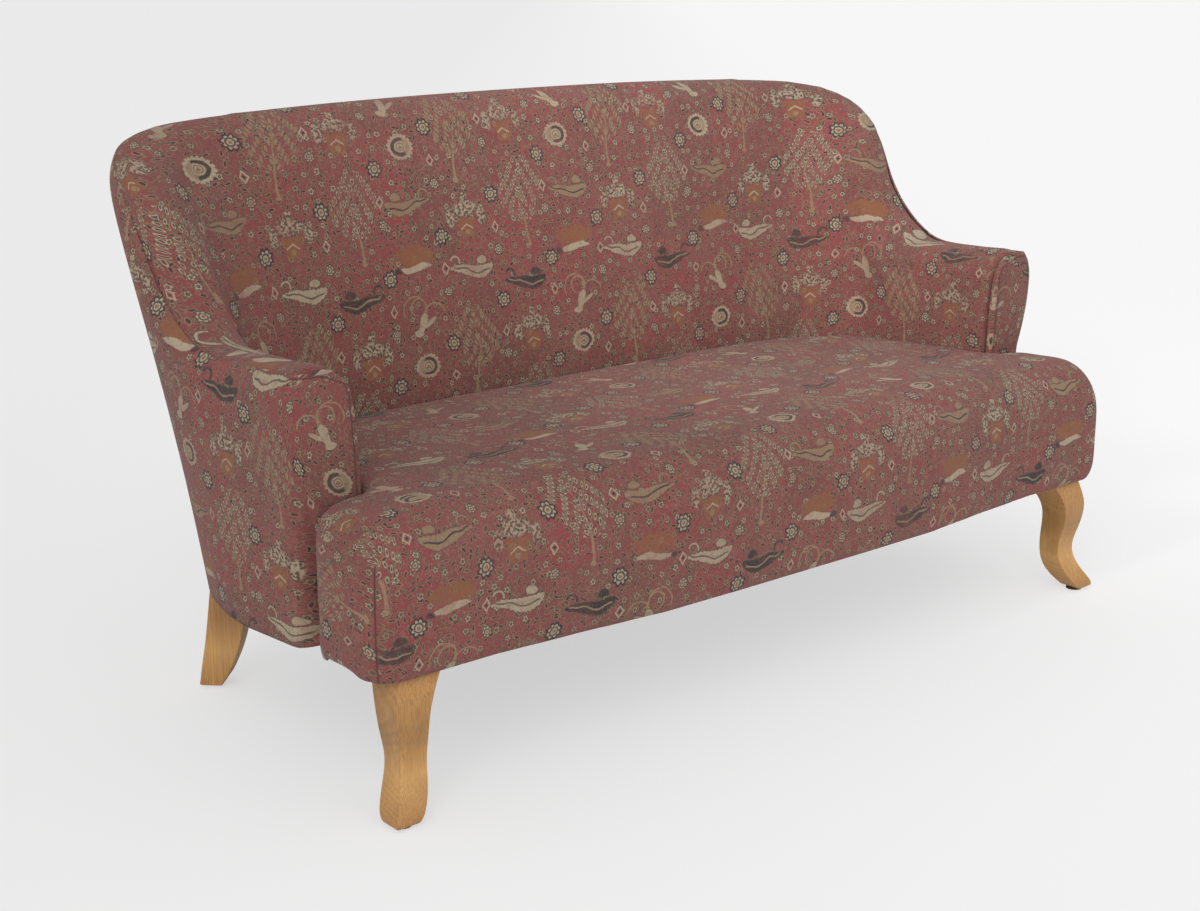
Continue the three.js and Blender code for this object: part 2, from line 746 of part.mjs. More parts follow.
// Timber standing between two runs, from a low height to a top that may slope
function post(fromRun, toRun, low, highOf, steps) {
  const loops = [];
  for (let i = 0; i <= steps; i++) {
    const back = frameDepth + railThick;
    const corners = [[fromRun, frameDepth], [toRun, frameDepth], [toRun, back], [fromRun, back]];
    loops.push(corners.map(([run, depth]) => {
      const height = lerp(low, highOf(Math.abs(run)), i / steps);
      return wallPoint(Math.sign(run) || 1, Math.abs(run), height, depth);
    }));
  }
  return loft(loops, (p) => new THREE.Vector2(p.x, p.y));
}

// A point under the roll, a distance in from its centre line
function underRoll(share, distance) {
  const { edge, inward } = edgeStation(share);
  return edge.clone().addScaledVector(inward, rollRadius + distance);
}

// Timber under the roll, following the edge
function edgeRail(from, to, clearance) {
  const shares = [from];
  for (let i = -halfStations; i <= halfStations; i++) {
    const share = i / halfStations;
    if (share > from + seamShare && share < to - seamShare) shares.push(share);
  }
  shares.push(to);
  const loops = [];
  for (const share of shares) {
    const side = share < 0 ? -1 : 1;
    const top = underRoll(Math.abs(share), clearance);
    const base = underRoll(Math.abs(share), edgeRailWidth);
    const back = frameDepth + railThick;
    const corners = [[top, frameDepth], [top, back], [base, back], [base, frameDepth]];
    loops.push(corners.map(([place, depth]) => wallPoint(side, place.x, place.y, depth)));
  }
  return loft(loops, (p) => new THREE.Vector2(Math.hypot(p.x, p.y), p.z));
}

// The height of the edge rail's underside at a run, looking from the middle or from the arm front
function undersideAt(run, distance, fromFront) {
  const samples = [];
  for (let i = 0; i <= halfStations; i++) samples.push(underRoll(i / halfStations, distance));
  if (fromFront) samples.reverse();
  for (let i = 0; i + 1 < samples.length; i++) {
    const [a, b] = [samples[i], samples[i + 1]];
    const within = (run - a.x) * (run - b.x) <= 0 && a.x !== b.x;
    if (within) return lerp(a.y, b.y, (run - a.x) / (b.x - a.x));
  }
  return armHeight;
}

const backRailRun = runToCorner * backRailShare;
const cornerRailRun = runToArm + cornerRailPast;
const stileRun = runToCorner * stileShare;
const cornerPostRun = runToCorner + cornerPostPast;
const postFoot = railTop + seatGap;
const underTop = (run) => undersideAt(run, edgeRailWidth + seatGap, false);
const underArm = (run) => undersideAt(run, seatGap * 2, true);
const armPostRun = runToFront - frontSetBack - stileWidth;
const armLean = edgeStation(1).inward.x * (rollRadius + edgeRailWidth);
const armRailEnd = 1 - (frontSetBack + stileWidth + seatGap + armLean) / edgePath.getLength();

add("back_rail", rail(-backRailRun, backRailRun, frameBase, railTop, railThick, wallRows), "beech");
const cornerRail = rail(
  backRailRun + seatGap, cornerRailRun, frameBase, railTop, wideRailThick, cornerRailSteps,
);
addPair("side_rail", sideRail(), "beech");
const armPostEnd = armPostRun + stileWidth;
addPair("arm_post", post(armPostRun, armPostEnd, postFoot, underArm, postSteps), "beech");
const cornerPostEnd = cornerPostRun + stileWidth;
addPair("corner_post", post(cornerPostRun, cornerPostEnd, postFoot, underTop, postSteps), "beech");
addPair("back_stile", post(stileRun, stileRun + stileWidth, postFoot, underTop, 2), "beech");
const stileFoot = tackHigh + seatGap;
add("back_stile_centre", post(-stileWidth / 2, stileWidth / 2, stileFoot, underTop, 2), "beech");
const tackEnd = stileRun - seatGap;
add("back_tack_rail", rail(-tackEnd, tackEnd, tackLow, tackHigh, railThick, 2), "beech");
const armTackRail = rail(
  cornerPostEnd + seatGap, armPostRun - seatGap, tackLow, tackHigh, railThick, tackRailSteps,
);
addPair("arm_tack_rail", armTackRail, "beech");
const topRailShare = topRailStep / halfStations;
const wingRailShare = wingRailStep / halfStations;
add("top_rail", edgeRail(-topRailShare, topRailShare, seatGap * 2), "beech");
addPair("wing_rail", edgeRail(topRailShare + seamShare, wingRailShare, seatGap * 2), "beech");
addPair("arm_rail", edgeRail(wingRailShare + seamShare, armRailEnd, sweepClearance), "beech");

// Webbing across the posts of the back
webbingShares.forEach((heightShare, index) => {
  const height = lerp(tackHigh, shoulderHeight, heightShare);
  const reach = stileRun + stileWidth;
  const near = frameDepth + railThick + seatGap;
  const far = near + webbingThick;
  const top = height + webbingWidth;
  const loops = [];
  for (let i = 0; i <= wallRows; i++) {
    const run = lerp(-reach, reach, i / wallRows);
    const corners = [[height, near], [height, far], [top, far], [top, near]];
    loops.push(corners.map(([level, depth]) => wallPoint(run < 0 ? -1 : 1, Math.abs(run), level, depth)));
  }
  const strap = loft(loops, (p) => new THREE.Vector2(Math.hypot(p.x, p.y), p.z));
  add(`back_webbing_${index + 1}`, strap, "webbing");
});

// Seat frame
const railFront = frameInset + seatGap;
const blockEnd = blockHalfWidth - railFront;
const jointX = insideLow.halfWidth;
const frontLoops = [];
const bowStations = [-jointX, ...blockStations().filter((x) => Math.abs(x) < jointX), jointX];
for (const x of bowStations) {
  const near = blockFront(x) + railFront;
  const far = near + railThick;
  const corners = [[near, frameBase], [far, frameBase], [far, railTop], [near, railTop]];
  frontLoops.push(corners.map(([y, z]) => new THREE.Vector3(x, y, z)));
}
add("front_rail", loft(frontLoops, (p) => new THREE.Vector2(p.y, p.z)), "beech");

function bore(x, y) {
  const radius = boltRadius + seatGap;
  const length = boltHigh - boltLow + seatGap * 2;
  const geometry = new THREE.CylinderGeometry(radius, radius, length, roundSides);
  return toSolid(geometry.rotateX(Math.PI / 2).translate(x, y, (boltLow + boltHigh) / 2));
}

const crossBack = wallPoint(1, 0, frameBase, frameDepth + railThick).y;
add("seat_cross_rail", boxAt(
  new THREE.Vector3(-crossRailWidth / 2, blockFront(0) + railFront + railThick + seatGap, frameBase),
  new THREE.Vector3(crossRailWidth / 2, crossBack - seatGap, railTop - crossRailDrop),
), "beech");

const frontLegX = blockHalfWidth - frontLegStep;
const rearLegRun = lerp(runToCorner, runToArm, rearLegTurnShare);
const { x: rearLegX, y: rearLegY } = wallPoint(1, rearLegRun, legHeight, rearLegDepth);
const frontNeckX = frontLegX - frontNeckBack;
const frontNeckY = frontLegY + frontNeckBack;
const cornerShape = new THREE.Shape();
cornerShape.moveTo(jointX + seatGap, railFront);
cornerShape.lineTo(blockEnd - railThick, railFront);
cornerShape.lineTo(blockEnd, railFront + railThick);
cornerShape.lineTo(blockEnd, blockDepth - earBackRadius);
cornerShape.lineTo(blockHalfWidth - earBackRadius, blockDepth - foamDepth);
cornerShape.lineTo(jointX + seatGap, blockDepth - foamDepth);
cornerShape.closePath();
const blockHeight = { depth: railTop - frameBase, bevelEnabled: false };
const cornerBlock = new THREE.ExtrudeGeometry(cornerShape, blockHeight);
cornerBlock.translate(0, 0, frameBase);
const boredBlock = toSolid(cornerBlock).subtract(bore(frontNeckX, frontNeckY));
addPair("front_corner_block", toGeometry(boredBlock), "beech");
const boredRail = toSolid(cornerRail).subtract(bore(rearLegX, rearLegY));
addPair("rear_corner_rail", toGeometry(boredRail), "beech");

// Springs across the seat from the front rail to the back rail
function springPath(x, from, to) {
  const points = [new THREE.Vector3(x, from, 0), new THREE.Vector3(x, from + springEnd, 0)];
  const count = springBends * bendSteps;
  for (let i = 1; i < count; i++) {
    const share = i / count;
    const swing = springSwing * Math.sin(Math.PI * springBends * share);
    points.push(new THREE.Vector3(x + swing, lerp(from + springEnd, to - springEnd, share), 0));
  }
  points.push(new THREE.Vector3(x, to - springEnd, 0), new THREE.Vector3(x, to, 0));
  return new THREE.CatmullRomCurve3(points);
}

const wire = new THREE.Shape();
for (let i = 0; i < wireSides; i++) {
  const turn = Math.PI * 2 * i / wireSides;
  if (i === 0) wire.moveTo(wireRadius, 0);
  else wire.lineTo(wireRadius * Math.cos(turn), wireRadius * Math.sin(turn));
}
wire.closePath();
for (let i = 0; i < springCount; i++) {
  const x = lerp(springEdge - jointX, jointX - springEdge, i / (springCount - 1));
  const back = wallPoint(1, Math.abs(x), railTop, frameDepth + springInset).y;
  const path = springPath(x, blockFront(x) + railFront + springInset, back);
  const steps = springBends * bendSteps + 4;
  const geometry = new THREE.ExtrudeGeometry(wire, { steps, bevelEnabled: false, extrudePath: path });
  geometry.translate(0, 0, springBed + wireRadius);
  add(`seat_spring_${i + 1}`, geometry, "steel");
}

// Legs in the diagonal plane that points away from the middle of the sofa
function legBody(form, x, y) {
  const out = new THREE.Vector2(1, form.forward).normalize();
  const across = new THREE.Vector2(-out.y, out.x);
  const cut = form.thick ? legChamfer / 2 : legChamfer;
  const loops = form.shares.map(({ heightShare, widthShare, sweepShare }) => {
    const height = lerp(glideHeight + seatGap, legHeight - seatGap, heightShare);
    const half = form.width * widthShare / 2;
    const shift = form.sweep * sweepShare;
    const thick = form.thick / 2;
    const corners = form.thick
      ? [[half, -thick], [half, thick], [-half, thick], [-half, -thick]]
      : [[half, 0], [0, half], [-half, 0], [0, -half]];
    const loop = [];
    corners.forEach((corner, i) => {
      for (const other of [corners[(i + 3) % 4], corners[(i + 1) % 4]]) {
        const length = Math.hypot(other[0] - corner[0], other[1] - corner[1]);
        loop.push([lerp(corner[0], other[0], cut / length), lerp(corner[1], other[1], cut / length)]);
      }
    });
    return loop.map(([a, b]) => new THREE.Vector3(
      x + out.x * (a + shift) + across.x * b,
      y + out.y * (a + shift) + across.y * b,
      height,
    ));
  });
  return loft(loops, (p) => new THREE.Vector2(p.x, p.y));
}

function leg(body, x, y) {
  const top = frameBase - seatGap;
  const root = legHeight - neckSink;
  const neck = new THREE.CylinderGeometry(neckRadius, neckRadius, top - root, roundSides);
  neck.rotateX(Math.PI / 2).translate(x, y, (top + root) / 2);
  return toGeometry(toSolid(body).add(toSolid(neck)).subtract(bore(x, y)));
}

function glide(form, x, y) {
  const foot = form.shares[0];
  const width = form.width * foot.widthShare;
  const shift = form.sweep * foot.sweepShare;
  const room = form.thick ? Math.min(form.thick, width) : width * Math.SQRT1_2;
  const radius = room / 2 - glideInset;
  const out = new THREE.Vector2(1, form.forward).normalize();
  const geometry = new THREE.CylinderGeometry(radius, radius, glideHeight, roundSides);
  geometry.rotateX(Math.PI / 2);
  return geometry.translate(x + out.x * shift, y + out.y * shift, glideHeight / 2);
}

function bolt(x, y) {
  const length = boltHigh - boltLow;
  const profile = [
    new THREE.Vector2(0, 0),
    new THREE.Vector2(boltRadius - boltPoint, 0),
    new THREE.Vector2(boltRadius, boltPoint),
    new THREE.Vector2(boltRadius, length - boltPoint),
    new THREE.Vector2(boltRadius - boltPoint, length),
    new THREE.Vector2(0, length),
  ];
  const geometry = new THREE.LatheGeometry(profile, roundSides);
  return geometry.rotateX(Math.PI / 2).translate(x, y, boltLow);
}

const frontForm = {
  shares: frontLegShares,
  width: frontLegWidth,
  sweep: frontLegSweep,
  forward: -1,
  thick: 0,
};
const rearForm = {
  shares: rearLegShares,
  width: rearLegWidth,
  sweep: rearLegSweep,
  forward: 1,
  thick: rearLegThick,
};
const frontBody = legBody(frontForm, frontLegX, frontLegY);
addPair("front_leg", leg(frontBody, frontNeckX, frontNeckY), "oak");
addPair("front_glide", glide(frontForm, frontLegX, frontLegY), "glide");
addPair("front_leg_bolt", bolt(frontNeckX, frontNeckY), "steel");
const rearBody = legBody(rearForm, rearLegX, rearLegY);
addPair("rear_leg", leg(rearBody, rearLegX, rearLegY), "oak");
addPair("rear_glide", glide(rearForm, rearLegX, rearLegY), "glide");
addPair("rear_leg_bolt", bolt(rearLegX, rearLegY), "steel");

// Whether an outline turns at a point, which it needs only there
function isBend(point, i, list) {
  const before = list[(i + list.length - 1) % list.length];
  const after = list[(i + 1) % list.length];
  const turn = point.clone().sub(before).normalize().cross(after.clone().sub(point).normalize());
  return Math.abs(turn) > Number.EPSILON ** (1 / 3);
}

// The dust cover under the frame, with a hole round each leg's neck
const dustEdge = blockBaseRadius + cutOverrun / 2;
const dustDepth = frameDepth + seatGap;
const dustInner = jointX - seatGap;
const rightEdge = [];
for (let i = 0; i <= blockSpans; i++) {
  const x = lerp(0, blockHalfWidth - blockCornerRadius, i / blockSpans);
  rightEdge.push(new THREE.Vector2(x, blockFront(x) + dustEdge));
}
rightEdge.push(new THREE.Vector2(blockEnd, dustEdge + railThick));
rightEdge.push(new THREE.Vector2(blockEnd, blockDepth - earBackRadius));
rightEdge.push(new THREE.Vector2(blockHalfWidth - earBackRadius, blockDepth - cutOverrun));
rightEdge.push(new THREE.Vector2(dustInner, blockDepth - cutOverrun));
rightEdge.push(new THREE.Vector2(dustInner, armFront + seatGap));
const dustFront = wallPoint(1, runToFront, legHeight, frontSetBack);
rightEdge.push(new THREE.Vector2(dustFront.x, armFront + seatGap));
for (let i = dustStations; i >= 0; i--) {
  const run = lerp(0, runToFront - frontSetBack, i / dustStations);
  const point = wallPoint(1, run, legHeight, dustDepth);
  rightEdge.push(new THREE.Vector2(point.x, point.y));
}
const leftEdge = rightEdge.slice(1, -1).reverse().map((point) => new THREE.Vector2(-point.x, point.y));
const dustShape = new THREE.Shape([...rightEdge, ...leftEdge].filter(isBend));
for (const [x, y] of [[frontNeckX, frontNeckY], [rearLegX, rearLegY]]) {
  for (const side of [1, -1]) {
    const hole = new THREE.Path();
    hole.absarc(side * x, y, neckRadius + seatGap * 2, 0, Math.PI * 2, true);
    dustShape.holes.push(hole);
  }
}
const dust = new THREE.ExtrudeGeometry(dustShape, {
  depth: coverThick - seatGap,
  bevelEnabled: false,
  curveSegments: roundSides / 2,
});
add("dust_cover", dust.translate(0, 0, frameBase - coverThick), "lining");

// The origin is the middle of the bounding box on the floor
const bounds = new THREE.Box3().setFromObject(sofa);
sofa.position.y = -(bounds.min.y + bounds.max.y) / 2;

export default sofa;
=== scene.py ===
import json
import math

import bmesh
import bpy
import numpy as np
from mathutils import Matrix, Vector


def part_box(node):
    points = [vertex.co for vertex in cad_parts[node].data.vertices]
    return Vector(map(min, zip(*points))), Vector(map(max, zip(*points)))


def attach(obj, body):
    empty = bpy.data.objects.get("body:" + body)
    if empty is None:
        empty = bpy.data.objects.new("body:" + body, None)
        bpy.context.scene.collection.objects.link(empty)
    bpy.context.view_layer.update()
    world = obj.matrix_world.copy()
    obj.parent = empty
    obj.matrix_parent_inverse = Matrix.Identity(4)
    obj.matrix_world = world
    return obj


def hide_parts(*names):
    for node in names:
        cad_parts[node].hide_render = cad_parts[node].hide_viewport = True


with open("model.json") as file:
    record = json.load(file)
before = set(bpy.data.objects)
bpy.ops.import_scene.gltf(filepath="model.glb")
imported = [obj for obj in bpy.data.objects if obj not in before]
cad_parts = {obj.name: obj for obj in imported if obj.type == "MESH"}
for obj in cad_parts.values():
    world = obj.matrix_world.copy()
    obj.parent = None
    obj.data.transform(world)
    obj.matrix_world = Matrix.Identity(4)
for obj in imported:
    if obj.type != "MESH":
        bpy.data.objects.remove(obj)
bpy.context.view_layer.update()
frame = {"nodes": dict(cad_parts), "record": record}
scene = bpy.context.scene
SIDES = ("right", "left")

# Camera, in metres and degrees
CAMERA_PLACE = (-2.1618, -2.4456, 1.2316)
CAMERA_DOWN = 15.51
CAMERA_TURN = 40.15
CAMERA_LENS = 57.05
CAMERA_REACH = 200
SENSOR = 36

# Floor: its tones from the picture's left to its right, a painted shade that darkens its left side,
# and its own share of light
FLOOR_SIZE = 90
FLOOR_PAINTED_SHADE = (242, 242, 242)
FLOOR_BRIGHT = (255, 255, 255)
FLOOR_FADE = 1.5
FLOOR_GLOW = 0.6

# Lamps: the sky, two broad suns in degrees, and a soft lamp on the far arm's inside, in metres
SKY = 0.6
KEY = {"power": 0.92, "down": 36, "turn": -48, "spread": 40}
FILL = {"power": 0.3, "down": 30, "turn": 10, "spread": 60}
INSIDE_POWER = 105
INSIDE_PLACE = (-1.4, -0.5, 1.9)
INSIDE_AIM = (0.64, 0.12, 0.56)
INSIDE_CONE = 38
INSIDE_SOFT = 0.25

# The padding: the steps of its remesh, how far it may swell, and the smoothing of its facets
VOXEL = 0.010
WALL_VOXEL = 0.012
FAIR_TIMES = 10
SHRINK = 0.003
SWELL_LIMIT = 0.006
PRESSURE = 4
SWELL_FRAMES = 20
MERGE = 1e-5

# The seat's hem: its height, the stretch above it that is drawn up, and where the cover is loose
HEM = 0.2178
HEM_RISE = 0.03
HEM_FLAT = 0.3
LOOSE_FROM = 0.225
SMOOTH_BY = 0.25
LOOSE_BY = 0.26

# The wall's pad is loose from this far behind its middle to this far before it
WALL_LOOSE = 0.02

# The cover's shape in plan and section, from which the print's coordinates follow
ROLL_RADIUS = 0.052
SEAT_ROLL = 0.084
SEAT_SIDE_ROLL = 0.052
FRONT_BOW = 0.029
BOW_INNER = 0.3
BOW_OUTER = 0.76
SEAT_HALF = 0.834
SEAT_SIDE_SHARE = 0.8
SEAT_FRONT_TILT = 0.2
WALL_HALF = 0.84
WALL_BACK = 0.368
WALL_CORNER = 0.193
WALL_FRONT_HALF = 0.807
WALL_FRONT = -0.186
WALL_MIDDLE = -0.3
PLAN_HEIGHT = 0.5
PLAN_BAND = 0.012
PLAN_FACING = 0.5
PLAN_OUT = 0.04
PLAN_STEPS = 24
LINE_ENDS = 9

# Seams: the seat's front corners
SEAT_CORNER = 0.052
SEAM_DROP = 0.07

# The outer covers, as cloth of one thickness
COVER_THICK = 0.003
COVER_MERGE = 1e-4
COVER_LEAN = 0.6
COVER_EDGE = 0.12

# The arm's front: its seam, the bend round its corner, and how far across each row of the
# cloth lies and how deep, in metres
LEVEL_STEP = 0.006
FRONT_EDGE = -0.183
FRONT_BEND = 0.012
FRONT_FROM = 0.004
ARCH_RISE = 0.004
ARCH_SEAM = 0.011
ARCH_ROUND = 0.034
ARCH_REACH = 0.004
FRONT_ROWS = (
    (-0.04, -0.1895), (0.0, -0.1935), (0.07, -0.1965), (0.28, -0.198), (0.5, -0.1985),
    (0.72, -0.198), (0.93, -0.1965), (0.99, -0.193), (1.0, -0.187),
)

# The legs: levels of height, width and outward sweep, in metres, and where painted shade darkens
# the oak, at the bend, and a painted highlight lightens it, on the foot
LEG_START = 0.004
LEG_EDGE = math.radians(50)
LEG_SHADE_HEIGHT = 0.138
LEG_SHADE_REACH = 0.06
LEG_HIGHLIGHT_HEIGHT = 0.066
LEG_HIGHLIGHT_REACH = 0.055
LEG_LIGHT = (208, 156, 90)
LEG_DARK = (166, 116, 64)
LEGS = {
    "front": {
        "place": (0.756, -0.3473),
        "turn": math.radians(-45),
        "thick": None,
        "round": 0.0022,
        "levels": (
            (0.0033, 0.040, 0.047), (0.0055, 0.050, 0.0465), (0.0095, 0.060, 0.044),
            (0.0155, 0.067, 0.039), (0.024, 0.070, 0.031), (0.036, 0.0705, 0.020),
            (0.052, 0.068, 0.009), (0.070, 0.064, 0.002), (0.090, 0.063, 0.0),
            (0.110, 0.068, 0.003), (0.132, 0.074, 0.008), (0.160, 0.080, 0.011),
            (0.180, 0.087, 0.006), (0.200, 0.095, -0.005), (0.2177, 0.104, -0.017),
        ),
    },
    "rear": {
        "place": (0.6938, 0.2376),
        "turn": math.radians(45),
        "thick": 0.050,
        "round": 0.003,
        "levels": (
            (0.0033, 0.0395, 0.044), (0.015, 0.045, 0.0395), (0.0335, 0.052, 0.0335),
            (0.057, 0.0575, 0.0262), (0.079, 0.061, 0.0203), (0.113, 0.0645, 0.0134),
            (0.160, 0.0645, 0.0072), (0.2177, 0.064, 0.0),
        ),
    },
}


def deselect():
    for thing in bpy.context.selected_objects:
        thing.select_set(False)


def activate(thing):
    deselect()
    bpy.context.view_layer.objects.active = thing
    thing.select_set(True)


def apply_modifier(thing, kind, **settings):
    activate(thing)
    modifier = thing.modifiers.new(kind.lower(), kind)
    for key, value in settings.items():
        setattr(modifier, key, value)
    bpy.ops.object.modifier_apply(modifier=modifier.name)


def read(rows, key, size=1, kind=np.float32):
    """One property of all the rows, as an array."""
    values = np.empty(len(rows) * size, kind)
    rows.foreach_get(key, values)
    return values.reshape(-1, size)


def points_of(mesh):
    return read(mesh.vertices, "co", 3, float)


def normals_of(mesh):
    return read(mesh.vertex_normals, "vector", 3).astype(float)


def write(mesh, name, domain, values):
    layer = mesh.attributes.new(name, "FLOAT_VECTOR", domain)
    layer.data.foreach_set("vector", values.astype(np.float32).ravel())


def set_points(mesh, co):
    mesh.vertices.foreach_set("co", co.ravel())
    mesh.update()


def paint(thing, material):
    thing.data.materials.clear()
    thing.data.materials.append(material)


def joined_copy(name, nodes):
    """One new object that holds merged copies of these nodes' meshes."""
    shape = bmesh.new()
    for node in nodes:
        shape.from_mesh(frame["nodes"][node].data)
    bmesh.ops.remove_doubles(shape, verts=shape.verts, dist=MERGE)
    mesh = bpy.data.meshes.new(name)
    shape.to_mesh(mesh)
    shape.free()
    thing = bpy.data.objects.new(name, mesh)
    scene.collection.objects.link(thing)
    return thing


# Material building

class Num:
    """A number worked out by a material at each point, which takes part in sums."""

    def __init__(self, sheet, socket):
        self.sheet = sheet
        self.socket = socket

    def _do(self, operation, other, flip=False):
        pair = (other, self) if flip else (self, other)
        return self.sheet.math(operation, *pair)

    def __add__(self, other):
        return self._do("ADD", other)

    __radd__ = __add__

    def __mul__(self, other):
        return self._do("MULTIPLY", other)

    __rmul__ = __mul__

    def __sub__(self, other):
        return self._do("SUBTRACT", other)

    def __rsub__(self, other):
        return self._do("SUBTRACT", other, True)

    def __truediv__(self, other):
        return self._do("DIVIDE", other)

    def __abs__(self):
        return self.sheet.math("ABSOLUTE", self)


class Sheet:
    """A material's node tree, with short calls for what its pattern needs."""

    def __init__(self, name):
        self.material = bpy.data.materials.new(name)
        self.material.use_nodes = True
        self.nodes = self.material.node_tree.nodes
        self.links = self.material.node_tree.links
        self.shader = self.nodes["Principled BSDF"]

    def feed(self, socket, value):
        if isinstance(value, Num):
            self.links.new(value.socket, socket)
        elif value is not None:
            socket.default_value = value

    def math(self, operation, *values, clamp=False):
        node = self.nodes.new("ShaderNodeMath")
        node.operation = operation
        node.use_clamp = clamp
        for i, value in enumerate(values):
            self.feed(node.inputs[i], value)
        return Num(self, node.outputs[0])

    def least(self, a, b):
        return self.math("MINIMUM", a, b)

    def most(self, a, b):
        return self.math("MAXIMUM", a, b)

    def sine(self, a):
        return self.math("SINE", a)

    def root(self, a):
        return self.math("SQRT", a)

    def length(self, x, y):
        return self.root(x * x + y * y)

    def angle(self, y, x):
        return self.math("ARCTAN2", y, x)

    def inside(self, distance, soft=0.5):
        """1 where a distance is below nought, with a soft edge."""
        return self.math("MULTIPLY_ADD", distance, -1 / soft, 0.5, clamp=True)

    def ramp(self, value, low, high):
        """0 below low, 1 above high."""
        return self.math("MULTIPLY_ADD", value, 1 / (high - low), -low / (high - low), clamp=True)

    def vector(self, x, y, z=0.0):
        node = self.nodes.new("ShaderNodeCombineXYZ")
        for i, value in enumerate((x, y, z)):
            self.feed(node.inputs[i], value)
        return Num(self, node.outputs[0])

    def parts(self, vector):
        node = self.nodes.new("ShaderNodeSeparateXYZ")
        self.feed(node.inputs[0], vector)
        return [Num(self, out) for out in node.outputs]

    def object_point(self):
        node = self.nodes.new("ShaderNodeTexCoord")
        return Num(self, node.outputs["Object"])

    def attribute(self, name):
        node = self.nodes.new("ShaderNodeAttribute")
        node.attribute_name = name
        return Num(self, node.outputs["Vector"])

    def noise(self, vector, scale, detail=2.0, rough=0.5, colour=False):
        node = self.nodes.new("ShaderNodeTexNoise")
        self.feed(node.inputs["Vector"], vector)
        node.inputs["Scale"].default_value = scale
        node.inputs["Detail"].default_value = detail
        node.inputs["Roughness"].default_value = rough
        return Num(self, node.outputs["Color" if colour else "Fac"])

    def random(self, vector):
        """Three random numbers from 0 to 1 for each place of a lattice."""
        node = self.nodes.new("ShaderNodeTexWhiteNoise")
        node.noise_dimensions = "2D"
        self.feed(node.inputs["Vector"], vector)
        return self.parts(Num(self, node.outputs["Color"]))

    def scatter(self, vector, scale, spread=1.0):
        """The nearest scattered point: the way to it from here, and three random numbers."""
        node = self.nodes.new("ShaderNodeTexVoronoi")
        node.voronoi_dimensions = "2D"
        self.feed(node.inputs["Vector"], vector)
        node.inputs["Scale"].default_value = scale
        node.inputs["Randomness"].default_value = spread
        place = self.parts(Num(self, node.outputs["Position"]))
        chance = self.parts(Num(self, node.outputs["Color"]))
        return place, chance

    def mix(self, share, a, b):
        node = self.nodes.new("ShaderNodeMix")
        node.data_type = "RGBA"
        self.feed(node.inputs["Factor"], share)
        for socket, value in ((node.inputs[6], a), (node.inputs[7], b)):
            self.feed(socket, value if isinstance(value, Num) else (*linear(value), 1))
        return Num(self, node.outputs[2])

    def bump(self, height, distance, strength):
        node = self.nodes.new("ShaderNodeBump")
        self.feed(node.inputs["Height"], height)
        node.inputs["Distance"].default_value = distance
        node.inputs["Strength"].default_value = strength
        return Num(self, node.outputs[0])

    def finish(self, colour, rough, normal=None, **fixed):
        self.feed(self.shader.inputs["Base Color"], colour)
        self.feed(self.shader.inputs["Roughness"], rough)
        self.feed(self.shader.inputs["Normal"], normal)
        for key, value in fixed.items():
            self.shader.inputs[key.replace("_", " ")].default_value = value
        return self.material


def linear(colour):
    """A colour written as a screen shows it, from 0 to 255, in linear light."""
    return [(c / 255 / 12.92) if c <= 10 else ((c / 255 + 0.055) / 1.055) ** 2.4 for c in colour]


# The printed cloth, in millimetres of cloth and in colours as a screen shows them

RED = (143, 68, 70)
ROSE = (134, 78, 76)
BROWN = (110, 72, 68)
BLUSH = (158, 104, 98)
CREAM = (178, 164, 140)
TAN = (150, 128, 102)
OCHRE = (140, 94, 64)
OLIVE = (88, 80, 66)
INK = (48, 54, 54)
# The dark line at a seam: partly the seam itself, partly painted shade in its tuck.
SEAM_AND_SHADE = (70, 42, 40)

# The repeat: three columns, each a step higher than the last, of two tall cells or four low ones
COLUMN = 118
TALL = 186
STEP = 62
COLUMNS = 3
ROWS = 2


